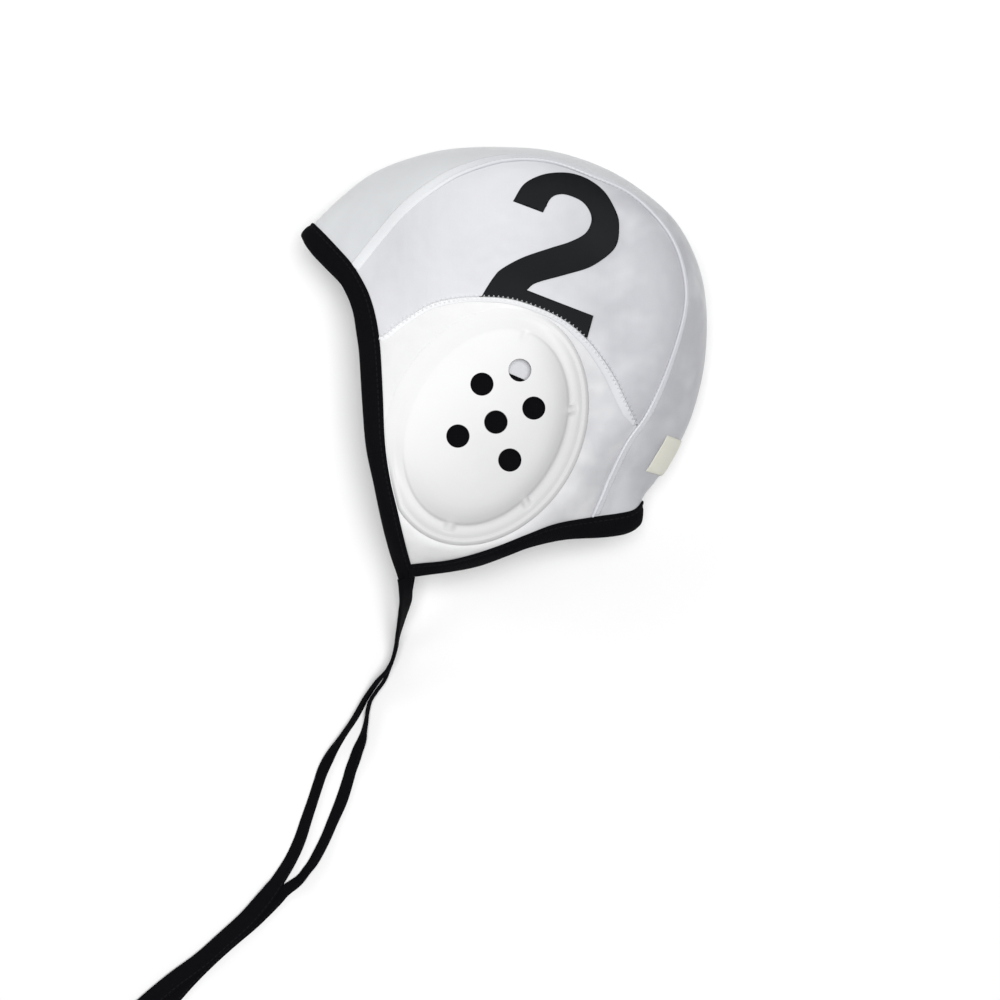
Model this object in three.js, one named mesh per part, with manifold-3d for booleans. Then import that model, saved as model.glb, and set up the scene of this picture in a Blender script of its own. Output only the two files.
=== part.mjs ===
// A water polo cap lying on its right side, with the wearer's left side up.
// Millimetres. +X runs from the face opening to the back of the cap, +Y from the chin to the crown,
// +Z up from the floor. Each cloth surface is worked out as a height over the cap's middle plane.
import * as THREE from "three";
import { mergeVertices } from "three/addons/utils/BufferGeometryUtils.js";
import Module from "manifold-3d";

const wasm = await Module();
wasm.setup();

// Driving dimensions
const capLength = 190; // brow to back, with the cap lying flat
const capHeight = 200; // crown to the lower front corner
const bellyHeight = 40; // the fullest cloth above the middle plane
const seatHeight = 33; // flat seat round the ear, above the middle plane
const shoulder = 1.6; // how soon the cloth outside the seat reaches its full height
const floorBend = 1.5; // height over which the lower cloth rounds off to lie on the floor
const clothWall = 1.4;
const pieceGap = 0.3;
const guardRise = 6.5; // face of the ear guard above its seat
const guardWall = 1.9;
const domeLength = 93;
const domeWidth = 68;
const domeTilt = 62; // degrees from +X to the dome's long axis
const rimWidth = 10;
const holeDiameter = 11;
const holePitch = 18.3;
const holeTilt = 20.2; // degrees from +X to the rows of holes
const holeShift = [0.25, 0.108]; // middle hole from the ear's centre, in pitches
const openingMargin = 3; // the ear opening is this much larger than the dome
const bindingWall = 1.1;
const channelGap = 1.8; // room for the cloth in the folded binding
const edgeWidth = 9.5; // mean width of the bindings, which the tables give point by point
const seamWidth = 5;
const seamThickness = 0.5;
const seamLift = 0.7; // the bands lie this far off the cloth, over its joint
const earSeamWidth = 3.6;
const earSeamRoom = 0.5; // least gap in plan between the ear seam's band and the guard's rim
const printThickness = 0.3;
const numberHeight = 68.5;
const numberTilt = -21.3; // degrees from +X to the number's base
const labelThickness = 0.7;
const labelStart = 14.42; // rows of the crown table
const labelEnd = 15.55;
const labelReach = 0.52; // share of the centre panel's half width
const tieWidth = 9;
const tieThickness = 1.6;
const tieReach = 250; // the ties' tables are in shares of this

const ear = { x: -0.045 * capLength, y: -0.15 * capHeight };
const middleZ = seatHeight + guardRise;
const floorRoom = pieceGap + printThickness; // the printed number is all that lies under the cloth

// Columns: crown line x and y, long seam x and y, fullness, squareness. The lengths are shares of
// capLength and capHeight and fullness is a share of bellyHeight. Rows run from brow to nape.
const crown = [
  [-0.501, 0.302, -0.4, 0.184, 0.76, 1.6],
  [-0.471, 0.333, -0.364, 0.222, 0.76, 1.6],
  [-0.402, 0.396, -0.307, 0.286, 0.83, 1.85],
  [-0.328, 0.449, -0.245, 0.348, 0.9, 3],
  [-0.239, 0.483, -0.174, 0.397, 0.95, 6],
  [-0.135, 0.504, -0.102, 0.433, 0.99, 11],
  [-0.011, 0.506, 0.001, 0.459, 1, 19],
  [0.113, 0.496, 0.106, 0.455, 1, 23],
  [0.231, 0.462, 0.213, 0.419, 1, 22],
  [0.328, 0.41, 0.306, 0.376, 1, 22],
  [0.419, 0.335, 0.388, 0.297, 0.99, 17],
  [0.476, 0.236, 0.427, 0.212, 0.97, 12.5],
  [0.498, 0.13, 0.433, 0.119, 0.95, 8.5],
  [0.493, -0.001, 0.398, -0.005, 0.93, 4.4],
  [0.459, -0.128, 0.351, -0.112, 0.9, 2.6],
  [0.402, -0.234, 0.297, -0.189, 0.86, 1.8],
  [0.373, -0.272, 0.257, -0.268, 0.83, 1.75],
  [0.34, -0.316, 0.221, -0.349, 0.8, 1.7],
  [0.331, -0.377, 0.192, -0.402, 0.76, 1.6],
];

// Columns: x, y, fullness, squareness of the outline that the cloth would close to below the
// open edges, from nape to brow.
const closing = [
  [0.268, -0.418, 0.8, 1.7],
  [0.176, -0.449, 0.86, 2.2],
  [0.081, -0.479, 0.9, 2.4],
  [-0.045, -0.51, 0.88, 2.4],
  [-0.185, -0.517, 0.86, 2.4],
  [-0.285, -0.515, 0.84, 2.4],
  [-0.358, -0.418, 0.88, 2.4],
  [-0.393, -0.304, 0.91, 2.5],
  [-0.415, -0.199, 0.92, 2.5],
  [-0.434, -0.085, 0.91, 2.4],
  [-0.458, 0.025, 0.86, 2.2],
  [-0.485, 0.143, 0.8, 1.9],
  [-0.506, 0.245, 0.77, 1.7],
];

// Columns: outer edge x and y, inner edge x and y of the face binding, from brow to lower corner.
const faceEdge = [
  [-0.501, 0.3, -0.471, 0.333],
  [-0.484, 0.27, -0.442, 0.305],
  [-0.453, 0.239, -0.407, 0.269],
  [-0.407, 0.194, -0.371, 0.23],
  [-0.381, 0.151, -0.344, 0.189],
  [-0.366, 0.111, -0.324, 0.149],
  [-0.358, 0.064, -0.308, 0.097],
  [-0.351, 0.018, -0.298, 0.034],
  [-0.343, -0.089, -0.291, -0.074],
  [-0.333, -0.194, -0.286, -0.186],
  [-0.314, -0.279, -0.274, -0.268],
  [-0.293, -0.378, -0.255, -0.344],
  [-0.276, -0.446, -0.239, -0.41],
  [-0.263, -0.488, -0.223, -0.478],
];

// The same columns for the neck binding, from the lower corner to the nape.
const neckEdge = [
  [-0.208, -0.491, -0.21, -0.461],
  [-0.128, -0.48, -0.142, -0.454],
  [-0.06, -0.466, -0.081, -0.44],
  [0.008, -0.442, -0.014, -0.419],
  [0.062, -0.423, 0.052, -0.394],
  [0.142, -0.408, 0.124, -0.369],
  [0.233, -0.404, 0.21, -0.355],
  [0.286, -0.398, 0.28, -0.346],
  [0.314, -0.389, 0.319, -0.337],
  [0.331, -0.377, 0.34, -0.316],
];

// Columns: x, y of the seam between side panel and ear panel, from the face edge to the long seam.
const earSeam = [
  [-0.343, 0.042],
  [-0.325, 0.049],
  [-0.29, 0.058],
  [-0.251, 0.086],
  [-0.181, 0.126],
  [-0.116, 0.141],
  [-0.059, 0.144],
  [0.013, 0.139],
  [0.084, 0.118],
  [0.147, 0.088],
  [0.199, 0.045],
  [0.235, 0.002],
  [0.264, -0.041],
  [0.289, -0.09],
  [0.317, -0.144],
];
const earSeamEnd = 14.42; // the row of the crown table where the ear seam meets the long seam

// Columns: across and up in shares of numberHeight, along the two round edges of the figure two.
const figureOuter = [
  [-0.026, 0.683],
  [0, 0.813],
  [0.077, 0.906],
  [0.174, 0.966],
  [0.282, 1],
  [0.403, 0.998],
  [0.525, 0.955],
  [0.644, 0.853],
  [0.69, 0.771],
  [0.714, 0.673],
  [0.69, 0.587],
  [0.603, 0.467],
  [0.472, 0.366],
  [0.312, 0.248],
  [0.269, 0.181],
];
const figureInner = [
  [0.013, 0.089],
  [0.034, 0.182],
  [0.064, 0.25],
  [0.166, 0.368],
  [0.311, 0.488],
  [0.42, 0.574],
  [0.493, 0.658],
  [0.504, 0.74],
  [0.473, 0.8],
  [0.406, 0.844],
  [0.324, 0.854],
  [0.251, 0.841],
  [0.2, 0.793],
  [0.184, 0.686],
];
const figureWidth = 0.762 * numberHeight;
const figureFoot = 8.5; // place on the ear seam, under the figure's foot, that it is set out from
const figureShift = [-0.493, 0.094]; // from there to its lower front corner, in shares of numberHeight

// Columns: x and y of each tie's middle line from the lower corner in shares of tieReach, its rise
// off the floor as a share of middleZ, the tape's roll in degrees, and its width as a share of
// tieWidth where it curls in. Both ties turn on edge below the cap, and the left one ends on top.
const leftTiePath = [
  [0, 0, 1.3519, -42, 1],
  [0.0007, -0.0211, 1.2987, -50, 0.96],
  [-0.0004, -0.0444, 1.1646, -56, 0.92],
  [-0.0047, -0.0643, 1.0127, -66, 0.9],
  [-0.0103, -0.0846, 0.8354, -76, 0.88],
  [-0.0161, -0.1053, 0.6582, -83, 0.86],
  [-0.0214, -0.126, 0.4937, -90, 0.85],
  [-0.026, -0.1465, 0.3747, -90, 0.84],
  [-0.0324, -0.1664, 0.319, -90, 0.82],
  [-0.0427, -0.1859, 0.3038, -88, 0.8],
  [-0.0605, -0.2063, 0.2177, -84, 0.78],
  [-0.0756, -0.2271, 0.1165, -82, 0.74],
  [-0.0886, -0.2472, 0.0759, -80, 0.7],
  [-0.0989, -0.2668, 0.0658, -76, 0.68],
  [-0.1102, -0.2863, 0.0633, -76, 0.66],
  [-0.1235, -0.3058, 0.0608, -76, 0.64],
  [-0.1368, -0.3254, 0.0557, -70, 0.62],
  [-0.1497, -0.345, 0.0481, -55, 0.6],
  [-0.1607, -0.3647, 0.038, -32, 0.6],
  [-0.1701, -0.3845, 0.0203, -12, 0.6],
  [-0.1771, -0.4043, 0.0076, 0, 0.58],
  [-0.1898, -0.4433, 0.0076, 0, 0.58],
  [-0.2029, -0.4824, 0.0076, 0, 0.62],
  [-0.2158, -0.5214, 0.0076, 0, 0.66],
  [-0.2337, -0.5604, 0.0101, 0, 0.68],
  [-0.2572, -0.5986, 0.0405, 0, 0.74],
  [-0.2706, -0.617, 0.0759, 0, 0.84],
  [-0.286, -0.6368, 0.0658, 0, 0.92],
  [-0.3203, -0.676, 0.0557, 0, 0.95],
  [-0.3632, -0.7151, 0.0532, 0, 0.95],
  [-0.407, -0.7541, 0.0532, 0, 0.95],
  [-0.4596, -0.793, 0.0532, 0, 0.96],
  [-0.5064, -0.832, 0.0532, 0, 0.98],
  [-0.5424, -0.8651, 0.0532, 0, 1],
];
const rightTiePath = [
  [0, 0, 0.5646, 45, 1],
  [-0.0031, -0.0263, 0.5063, 52, 0.95],
  [-0.006, -0.0499, 0.4177, 60, 0.9],
  [-0.0101, -0.0699, 0.3291, 70, 0.88],
  [-0.015, -0.09, 0.2405, 80, 0.86],
  [-0.0201, -0.1101, 0.157, 88, 0.84],
  [-0.0248, -0.1301, 0.0987, 90, 0.84],
  [-0.0287, -0.1498, 0.0785, 90, 0.84],
  [-0.0341, -0.1693, 0.0785, 90, 0.82],
  [-0.0415, -0.1888, 0.0759, 90, 0.8],
  [-0.0497, -0.2083, 0.0734, 90, 0.8],
  [-0.0638, -0.2278, 0.0709, 90, 0.76],
  [-0.0766, -0.2473, 0.0684, 90, 0.72],
  [-0.0819, -0.2668, 0.0658, 90, 0.7],
  [-0.0849, -0.2863, 0.0608, 84, 0.66],
  [-0.0888, -0.3059, 0.0557, 76, 0.64],
  [-0.0937, -0.3254, 0.0557, 54, 0.62],
  [-0.1018, -0.3451, 0.043, 35, 0.62],
  [-0.1086, -0.3649, 0.0278, 18, 0.62],
  [-0.1158, -0.3846, 0.0152, 6, 0.62],
  [-0.1213, -0.4043, 0.0076, 0, 0.63],
  [-0.1338, -0.4433, 0.0076, 0, 0.66],
  [-0.1502, -0.4824, 0.0076, 0, 0.6],
  [-0.1668, -0.5211, 0.0203, 10, 0.56],
  [-0.187, -0.5595, 0.043, 38, 0.55],
  [-0.2012, -0.5789, 0.0481, 52, 0.55],
  [-0.2168, -0.5984, 0.0456, 46, 0.57],
  [-0.2435, -0.6189, 0.0101, 6, 0.64],
  [-0.2666, -0.6386, 0.0038, 0, 0.86],
  [-0.3086, -0.6777, 0.0013, 0, 0.95],
  [-0.3545, -0.7168, 0.0013, 0, 0.95],
  [-0.3974, -0.7558, 0.0013, 0, 0.95],
  [-0.4365, -0.7949, 0.0013, 0, 0.97],
  [-0.4716, -0.8339, 0.0013, 0, 1],
  [-0.5028, -0.8652, 0.0013, 0, 1],
];

const crownLast = crown.length - 1;
const radians = THREE.MathUtils.degToRad;
const mix = THREE.MathUtils.lerp;
const smooth = (low, high, value) => THREE.MathUtils.smoothstep(value, low, high);

// A smooth curve through the rows of a table, read at a row number that may fall between two rows.
function between(rows, place, closed = false) {
  const count = rows.length;
  const row = (index) =>
    closed
      ? rows[((index % count) + count) % count]
      : rows[THREE.MathUtils.clamp(index, 0, count - 1)];
  const first = closed ? Math.floor(place) : Math.min(Math.floor(place), count - 2);
  const t = place - first;
  const before = closed || first > 0 ? row(first - 1) : null;
  const after = closed || first < count - 2 ? row(first + 2) : null;
  return row(first).map((start, column) => {
    const end = row(first + 1)[column];
    const previous = before ? before[column] : 2 * start - end;
    const next = after ? after[column] : 2 * end - start;
    return (
      start +
      0.5 * t * (end - previous + t * (2 * previous - 5 * start + 4 * end - next)) +
      0.5 * t * t * t * (3 * start - 3 * end + next - previous)
    );
  });
}

// The cap's outline seen from the side, as reach, fullness and squareness by angle about the ear.
const outlineRows = crown.map((row) => [row[0], row[1], row[4], row[5]]).concat(closing);
const outlineSteps = 40;
const outline = [];
for (let step = 0; step < outlineRows.length * outlineSteps; step++) {
  const [x, y, fullness, squareness] = between(outlineRows, step / outlineSteps, true);
  const across = x * capLength - ear.x;
  const up = y * capHeight - ear.y;
  outline.push({ angle: Math.atan2(up, across), reach: Math.hypot(across, up), fullness, squareness });
}
outline.sort((a, b) => a.angle - b.angle);

function outlineAt(angle) {
  let low = 0;
  let high = outline.length - 1;
  const turn = 2 * Math.PI;
  if (angle < outline[0].angle || angle >= outline[high].angle) {
    low = high;
    high = 0;
  } else {
    while (high - low > 1) {
      const middle = (low + high) >> 1;
      if (outline[middle].angle <= angle) low = middle;
      else high = middle;
    }
  }
  const span = (outline[high].angle - outline[low].angle + turn) % turn;
  const t = span ? ((angle - outline[low].angle + turn) % turn) / span : 0;
  const read = (name) => mix(outline[low][name], outline[high][name], t);
  return { reach: read("reach"), fullness: read("fullness"), squareness: read("squareness") };
}

// Plan radii about the ear: the dome, the guard's rim and the bindings that the rim is trimmed to.
function domeRadius(angle) {
  const turned = angle - radians(domeTilt);
  const [long, short] = [domeLength / 2, domeWidth / 2];
  return (long * short) / Math.hypot(short * Math.cos(turned), long * Math.sin(turned));
}

function edgePoint(rows, place, share) {
  const [outerX, outerY, innerX, innerY] = between(rows, place);
  return {
    x: mix(outerX, innerX, share) * capLength,
    y: mix(outerY, innerY, share) * capHeight,
  };
}

function trackOf(rows, share, steps = 8) {
  const points = [];
  for (let step = 0; step <= (rows.length - 1) * steps; step++)
    points.push(edgePoint(rows, step / steps, share));
  return points;
}

// Distance from the ear to the first crossing of a line of points, at an angle.
function reachTo(points, angle) {
  const [c, s] = [Math.cos(angle), Math.sin(angle)];
  let nearest = Infinity;
  for (let i = 0; i + 1 < points.length; i++) {
    const [ax, ay] = [points[i].x - ear.x, points[i].y - ear.y];
    const [bx, by] = [points[i + 1].x - ear.x, points[i + 1].y - ear.y];
    const sideA = ay * c - ax * s;
    const sideB = by * c - bx * s;
    if (sideA * sideB > 0 || sideA === sideB) continue;
    const t = sideA / (sideA - sideB);
    const distance = mix(ax, bx, t) * c + mix(ay, by, t) * s;
    if (distance > 0) nearest = Math.min(nearest, distance);
  }
  return nearest;
}

const innerEdges = [...trackOf(faceEdge, 1), ...trackOf(neckEdge, 1)];

function rimRadius(angle) {
  const free = domeRadius(angle) + rimWidth;
  return Math.min(free, reachTo(innerEdges, angle) - 2 * pieceGap);
}

// Height of the cloth's outer face over the middle plane.
function clothHeight(x, y) {
  const [across, up] = [x - ear.x, y - ear.y];
  const angle = Math.atan2(up, across);
  const distance = Math.hypot(across, up);
  const { reach, fullness, squareness } = outlineAt(angle);
  const share = Math.min(distance / reach, 1);
  const full = fullness * bellyHeight * Math.sqrt(1 - share ** squareness);
  const rim = domeRadius(angle) + rimWidth;
  return mix(seatHeight, full, smooth(0, 1, (shoulder * (distance - rim)) / (reach - rim)));
}

// The cloth of the lower side lies flat where it meets the floor, with room for its number.
function sideHeight(x, y, side) {
  const height = clothHeight(x, y);
  if (side > 0) return height;
  const limit = middleZ - floorRoom;
  const start = limit - floorBend;
  if (height <= start) return height;
  const over = Math.min(height - start, 2 * floorBend);
  return start + over - over ** 2 / (4 * floorBend);
}

function clothPoint(x, y, side, height = sideHeight(x, y, side)) {
  return new THREE.Vector3(x, y, middleZ + side * height);
}

function clothNormal(x, y, side) {
  const step = 0.4;
  const slopeX = (sideHeight(x + step, y, side) - sideHeight(x - step, y, side)) / (2 * step);
  const slopeY = (sideHeight(x, y + step, side) - sideHeight(x, y - step, side)) / (2 * step);
  return new THREE.Vector3(-slopeX, -slopeY, side).normalize();
}

function offCloth(x, y, side, offset) {
  return clothPoint(x, y, side).addScaledVector(clothNormal(x, y, side), offset);
}

// A point of the strip over the crown: place is a row number, across runs from -1 on the right
// long seam through 0 on the crown line to 1 on the left long seam, and a little past them.
function crownPoint(place, across) {
  const [crownX, crownY, seamX, seamY] = between(crown, place);
  const angle = Math.atan2(crownY * capHeight - ear.y, crownX * capLength - ear.x);
  const { reach } = outlineAt(angle);
  const share = Math.abs(across) ** 1.5;
  const x = mix(ear.x + reach * Math.cos(angle), seamX * capLength, share);
  const y = mix(ear.y + reach * Math.sin(angle), seamY * capHeight, share);
  return clothPoint(x, y, across < 0 ? -1 : 1);
}

// A point of the strip along an open edge: across runs from -1 through 0 to 1 as above, but from
// one lower corner over the fold to the other, and depth from 0 at the edge to 1 at the inner side.
function bindingPoint(rows, fold, across, depth) {
  const last = rows.length - 1;
  const place = fold === 0 ? Math.abs(across) * last : (1 - Math.abs(across)) * last;
  const { x, y } = edgePoint(rows, place, depth);
  const [acrossX, up] = [x - ear.x, y - ear.y];
  const { reach } = outlineAt(Math.atan2(up, acrossX));
  const distance = Math.hypot(acrossX, up);
  const onFold = Math.abs(across) < 1e-9 ? reach / distance : Math.min(1, reach / distance);
  return clothPoint(ear.x + acrossX * onFold, ear.y + up * onFold, across < 0 ? -1 : 1);
}

// Unit normal of a surface given as a function of two parameters, facing away from the inside.
function normalOf(surface, a, b, stepA, stepB, inside) {
  const alongA = surface(a + stepA, b).sub(surface(a - stepA, b));
  const alongB = surface(a, b + stepB).sub(surface(a, b - stepB));
  const normal = alongA.cross(alongB).normalize();
  const outward = surface(a, b).sub(inside);
  return normal.dot(outward) < 0 ? normal.negate() : normal;
}

const capCentre = new THREE.Vector3(ear.x, ear.y, middleZ);

function offCrown(place, across, offset) {
  const at = THREE.MathUtils.clamp(place, 0.05, crownLast - 0.05);
  const normal = normalOf(crownPoint, at, across, 0.05, 0.02, capCentre);
  return crownPoint(place, across).addScaledVector(normal, offset);
}

function offBinding(rows, fold, across, depth, offset) {
  const surface = (a, d) => bindingPoint(rows, fold, a, d);
  const at = THREE.MathUtils.clamp(across, -0.99, 0.99);
  const normal = normalOf(surface, at, THREE.MathUtils.clamp(depth, 0.1, 0.9), 0.01, 0.1, capCentre);
  return surface(across, depth).addScaledVector(normal, offset);
}

// A closed mesh between two matching grids of points. Rows may close on themselves.
function wallBetween(front, back, closedRows = false) {
  const positions = [];
  const faces = [];
  const known = new Map();
  const vertex = (point) => {
    const key = [point.x, point.y, point.z].map((value) => value.toFixed(4)).join(" ");
    if (!known.has(key)) {
      known.set(key, positions.length / 3);
      positions.push(point.x, point.y, point.z);
    }
    return known.get(key);
  };
  const triangle = (a, b, c) => {
    if (a !== b && b !== c && c !== a) faces.push(a, b, c);
  };
  const quad = (a, b, c, d) => {
    const [i, j, k, l] = [a, b, c, d].map(vertex);
    triangle(i, j, k);
    triangle(i, k, l);
  };
  const rows = front.length;
  const columns = front[0].length;
  const spans = closedRows ? rows : rows - 1;
  for (let i = 0; i < spans; i++) {
    const next = (i + 1) % rows;
    for (let j = 0; j + 1 < columns; j++) {
      quad(front[i][j], front[next][j], front[next][j + 1], front[i][j + 1]);
      quad(back[i][j], back[i][j + 1], back[next][j + 1], back[next][j]);
    }
    quad(front[i][0], back[i][0], back[next][0], front[next][0]);
    const end = columns - 1;
    quad(front[i][end], front[next][end], back[next][end], back[i][end]);
  }
  if (!closedRows)
    for (let j = 0; j + 1 < columns; j++) {
      quad(front[0][j], front[0][j + 1], back[0][j + 1], back[0][j]);
      quad(front[rows - 1][j + 1], front[rows - 1][j], back[rows - 1][j], back[rows - 1][j + 1]);
    }
  const geometry = new THREE.BufferGeometry();
  geometry.setAttribute("position", new THREE.Float32BufferAttribute(positions, 3));
  geometry.setIndex(faces);
  return facingOut(geometry);
}

// Turns a closed mesh the right way round by the sign of its volume.
function facingOut(geometry) {
  const { array } = geometry.attributes.position;
  const order = geometry.index.array;
  const corner = (i) => new THREE.Vector3().fromArray(array, 3 * order[i]);
  let volume = 0;
  for (let i = 0; i < order.length; i += 3)
    volume += corner(i).dot(corner(i + 1).cross(corner(i + 2)));
  if (volume < 0)
    for (let i = 0; i < order.length; i += 3) [order[i + 1], order[i + 2]] = [order[i + 2], order[i + 1]];
  return geometry;
}

function solidOf(geometry) {
  const bare = geometry.clone();
  bare.deleteAttribute("normal");
  bare.deleteAttribute("uv");
  const merged = mergeVertices(bare, 1e-4);
  return new wasm.Manifold(
    new wasm.Mesh({
      numProp: 3,
      vertProperties: merged.attributes.position.array,
      triVerts: new Uint32Array(merged.index.array),
    }),
  );
}

function geometryOf(solid) {
  const mesh = solid.getMesh();
  const geometry = new THREE.BufferGeometry();
  geometry.setAttribute("position", new THREE.BufferAttribute(mesh.vertProperties, 3));
  geometry.setIndex(new THREE.BufferAttribute(mesh.triVerts, 1));
  return geometry;
}

const grid = (rows, columns, make) =>
  Array.from({ length: rows }, (_, i) =>
    Array.from({ length: columns }, (__, j) => make(i / (rows - 1), j / (columns - 1))),
  );

// The cloth ends inside the folded binding, a little way in from the binding's outer edge.
const clothEdge = (bindingWall + channelGap + pieceGap) / edgeWidth;
const seamGap = 0.7 * pieceGap; // from each panel's edge to the middle of a seam

// Row numbers of the crown table at which the centre panel and its neighbours are cut.
const crownRows = 27;
const seamInset = 1.12; // the seam bands end at the bindings
const crownPlaces = [
  clothEdge,
  seamInset / 2,
  ...Array.from({ length: crownRows }, (_, i) =>
    mix(seamInset, crownLast - seamInset, i / (crownRows - 1)),
  ),
  crownLast - seamInset / 2,
  crownLast - clothEdge,
];

const sweep = (places, columns, make) =>
  places.map((place) => Array.from({ length: columns }, (_, j) => make(place, j / (columns - 1))));

// Length of cloth in one unit of the across value, beside a long seam.
function crownStretch(place, side) {
  const step = 0.01;
  return crownPoint(place, side * (1 - step)).distanceTo(crownPoint(place, side)) / step;
}

// Centre panel: one strip over the crown, from one long seam to the other.
function centrePanel() {
  const at = (offset) =>
    sweep(crownPlaces, 11, (place, v) => {
      const side = v < 0.5 ? -1 : 1;
      const reach = 1 - seamGap / crownStretch(place, side);
      return offCrown(place, (2 * v - 1) * reach, offset);
    });
  return wallBetween(at(0), at(-clothWall));
}

// Side panel: the crescent between the ear seam, which keeps clear of the guard, and the long seam.
function earSeamPoint(place) {
  const [x, y] = between(earSeam, place);
  const [across, up] = [x * capLength - ear.x, y * capHeight - ear.y];
  const least = domeRadius(Math.atan2(up, across)) + rimWidth + earSeamRoom + earSeamWidth / 2;
  const spread = Math.max(1, least / Math.hypot(across, up));
  return { x: ear.x + across * spread, y: ear.y + up * spread };
}

function longSeamPoint(place) {
  const [, , x, y] = between(crown, place);
  return { x: x * capLength, y: y * capHeight };
}

const faceRowOfLongSeam = 3.35; // rows of faceEdge where the two seams reach the face edge
const faceRowOfEarSeam = 6.62;

function crescentPoint(u, v) {
  const lower = earSeamPoint(u * (earSeam.length - 1));
  const upper = longSeamPoint(u * earSeamEnd);
  const onEdge = edgePoint(faceEdge, mix(faceRowOfEarSeam, faceRowOfLongSeam, v), clothEdge);
  const startLower = earSeamPoint(0);
  const startUpper = longSeamPoint(0);
  const fade = (1 - Math.min(1, u * 6)) ** 2;
  return {
    x: mix(lower.x, upper.x, v) + fade * (onEdge.x - mix(startLower.x, startUpper.x, v)),
    y: mix(lower.y, upper.y, v) + fade * (onEdge.y - mix(startLower.y, startUpper.y, v)),
  };
}

// The share of the crescent's width that a distance takes up at a place along it.
function crescentShare(u, distance) {
  const low = crescentPoint(u, 0);
  const high = crescentPoint(u, 1);
  return distance / Math.hypot(high.x - low.x, high.y - low.y);
}

const crescentColumns = 6;
const crescentEnd = 0.94; // the side panel's tip is cut off where the two seams run together
const crescentTip = crescentEnd + 0.006; // and the ear panel takes over here

function sidePanel(side) {
  const end = crescentEnd * earSeamEnd;
  const places = [0, ...crownPlaces.filter((place) => place > 0.4 && place < end - 0.2), end];
  const at = (offset) =>
    sweep(places, crescentColumns, (place, v) => {
      const along = place / earSeamEnd;
      const margin = crescentShare(along, seamGap);
      const { x, y } = crescentPoint(along, mix(margin, 1 - margin, v));
      return offCloth(x, y, side, offset);
    });
  return wallBetween(at(0), at(-clothWall));
}

// Ear panel: a ring of cloth from the ear opening out to the seams and the open edges.
const borderSteps = { earSeam: 120, longSeam: 20 };
const earPanelBorder = [
  ...Array.from({ length: borderSteps.earSeam + 1 }, (_, i) =>
    crescentPoint((crescentTip * i) / borderSteps.earSeam, 0),
  ),
  ...Array.from({ length: borderSteps.longSeam + 1 }, (_, i) =>
    longSeamPoint(mix(crescentTip * earSeamEnd, crownLast - clothEdge, i / borderSteps.longSeam)),
  ),
  ...trackOf(neckEdge, clothEdge).reverse(),
  ...trackOf(faceEdge, clothEdge).slice(Math.round(faceRowOfEarSeam * 8)).reverse(),
];
earPanelBorder.push(earPanelBorder[0]);

function openingRadius(angle) {
  return Math.min(domeRadius(angle) + openingMargin, rimRadius(angle) - openingMargin);
}

const rayStep = radians(8.5);
const rayPoints = 6;

function earPanel(side) {
  const corners = [
    earSeamPoint(0),
    crescentPoint(crescentTip, 0),
    longSeamPoint(crescentTip * earSeamEnd),
    ...crownPlaces.filter((place) => place > earSeamEnd + 0.3).map(longSeamPoint),
    edgePoint(neckEdge, 0, clothEdge),
    edgePoint(faceEdge, faceEdge.length - 1, clothEdge),
  ].map(({ x, y }) => Math.atan2(y - ear.y, x - ear.x));
  corners.sort((a, b) => b - a);
  const angles = [];
  corners.forEach((start, i) => {
    const end = i + 1 < corners.length ? corners[i + 1] : corners[0] - 2 * Math.PI;
    const steps = Math.max(1, Math.ceil((start - end) / rayStep));
    for (let step = 0; step < steps; step++) angles.push(mix(start, end, step / steps));
  });
  const at = (offset) =>
    angles.map((angle) => {
      const start = openingRadius(angle);
      const end = reachTo(earPanelBorder, angle) - pieceGap;
      return Array.from({ length: rayPoints }, (_, j) => {
        const distance = mix(start, end, j / (rayPoints - 1));
        return offCloth(
          ear.x + distance * Math.cos(angle),
          ear.y + distance * Math.sin(angle),
          side,
          offset,
        );
      });
    });
  return wallBetween(at(0), at(-clothWall), true);
}

// Seam bands lie on the cloth and bridge the joint below them.
function longSeam(side) {
  const places = crownPlaces.slice(2, -2);
  const at = (offset) =>
    sweep(places, 3, (place, v) => {
      const taper = mix(1, 0.62, smooth(0.1, 0.45, place / crownLast));
      const half = (seamWidth / 2) * taper;
      return offCrown(place, side * (1 + ((2 * v - 1) * half) / crownStretch(place, side)), offset);
    });
  return wallBetween(at(seamLift + seamThickness), at(seamLift));
}

function earSeamBand(side) {
  const last = earSeam.length - 1;
  const at = (offset) =>
    grid(16, 3, (u, v) => {
      const place = mix(1.95, last - 0.42, u);
      const point = earSeamPoint(place);
      const ahead = earSeamPoint(place + 0.1);
      const length = Math.hypot(ahead.x - point.x, ahead.y - point.y);
      const shift = ((v - 0.5) * earSeamWidth) / length;
      const x = point.x - shift * (ahead.y - point.y);
      const y = point.y + shift * (ahead.x - point.x);
      return offCloth(x, y, side, offset);
    });
  return wallBetween(at(seamLift + seamThickness), at(seamLift));
}

// Folded bindings: a channel of tape over the open edge, from one lower corner to the other.
const crowding = 1.35; // the bindings' stations lie closer together near the fold

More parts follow.
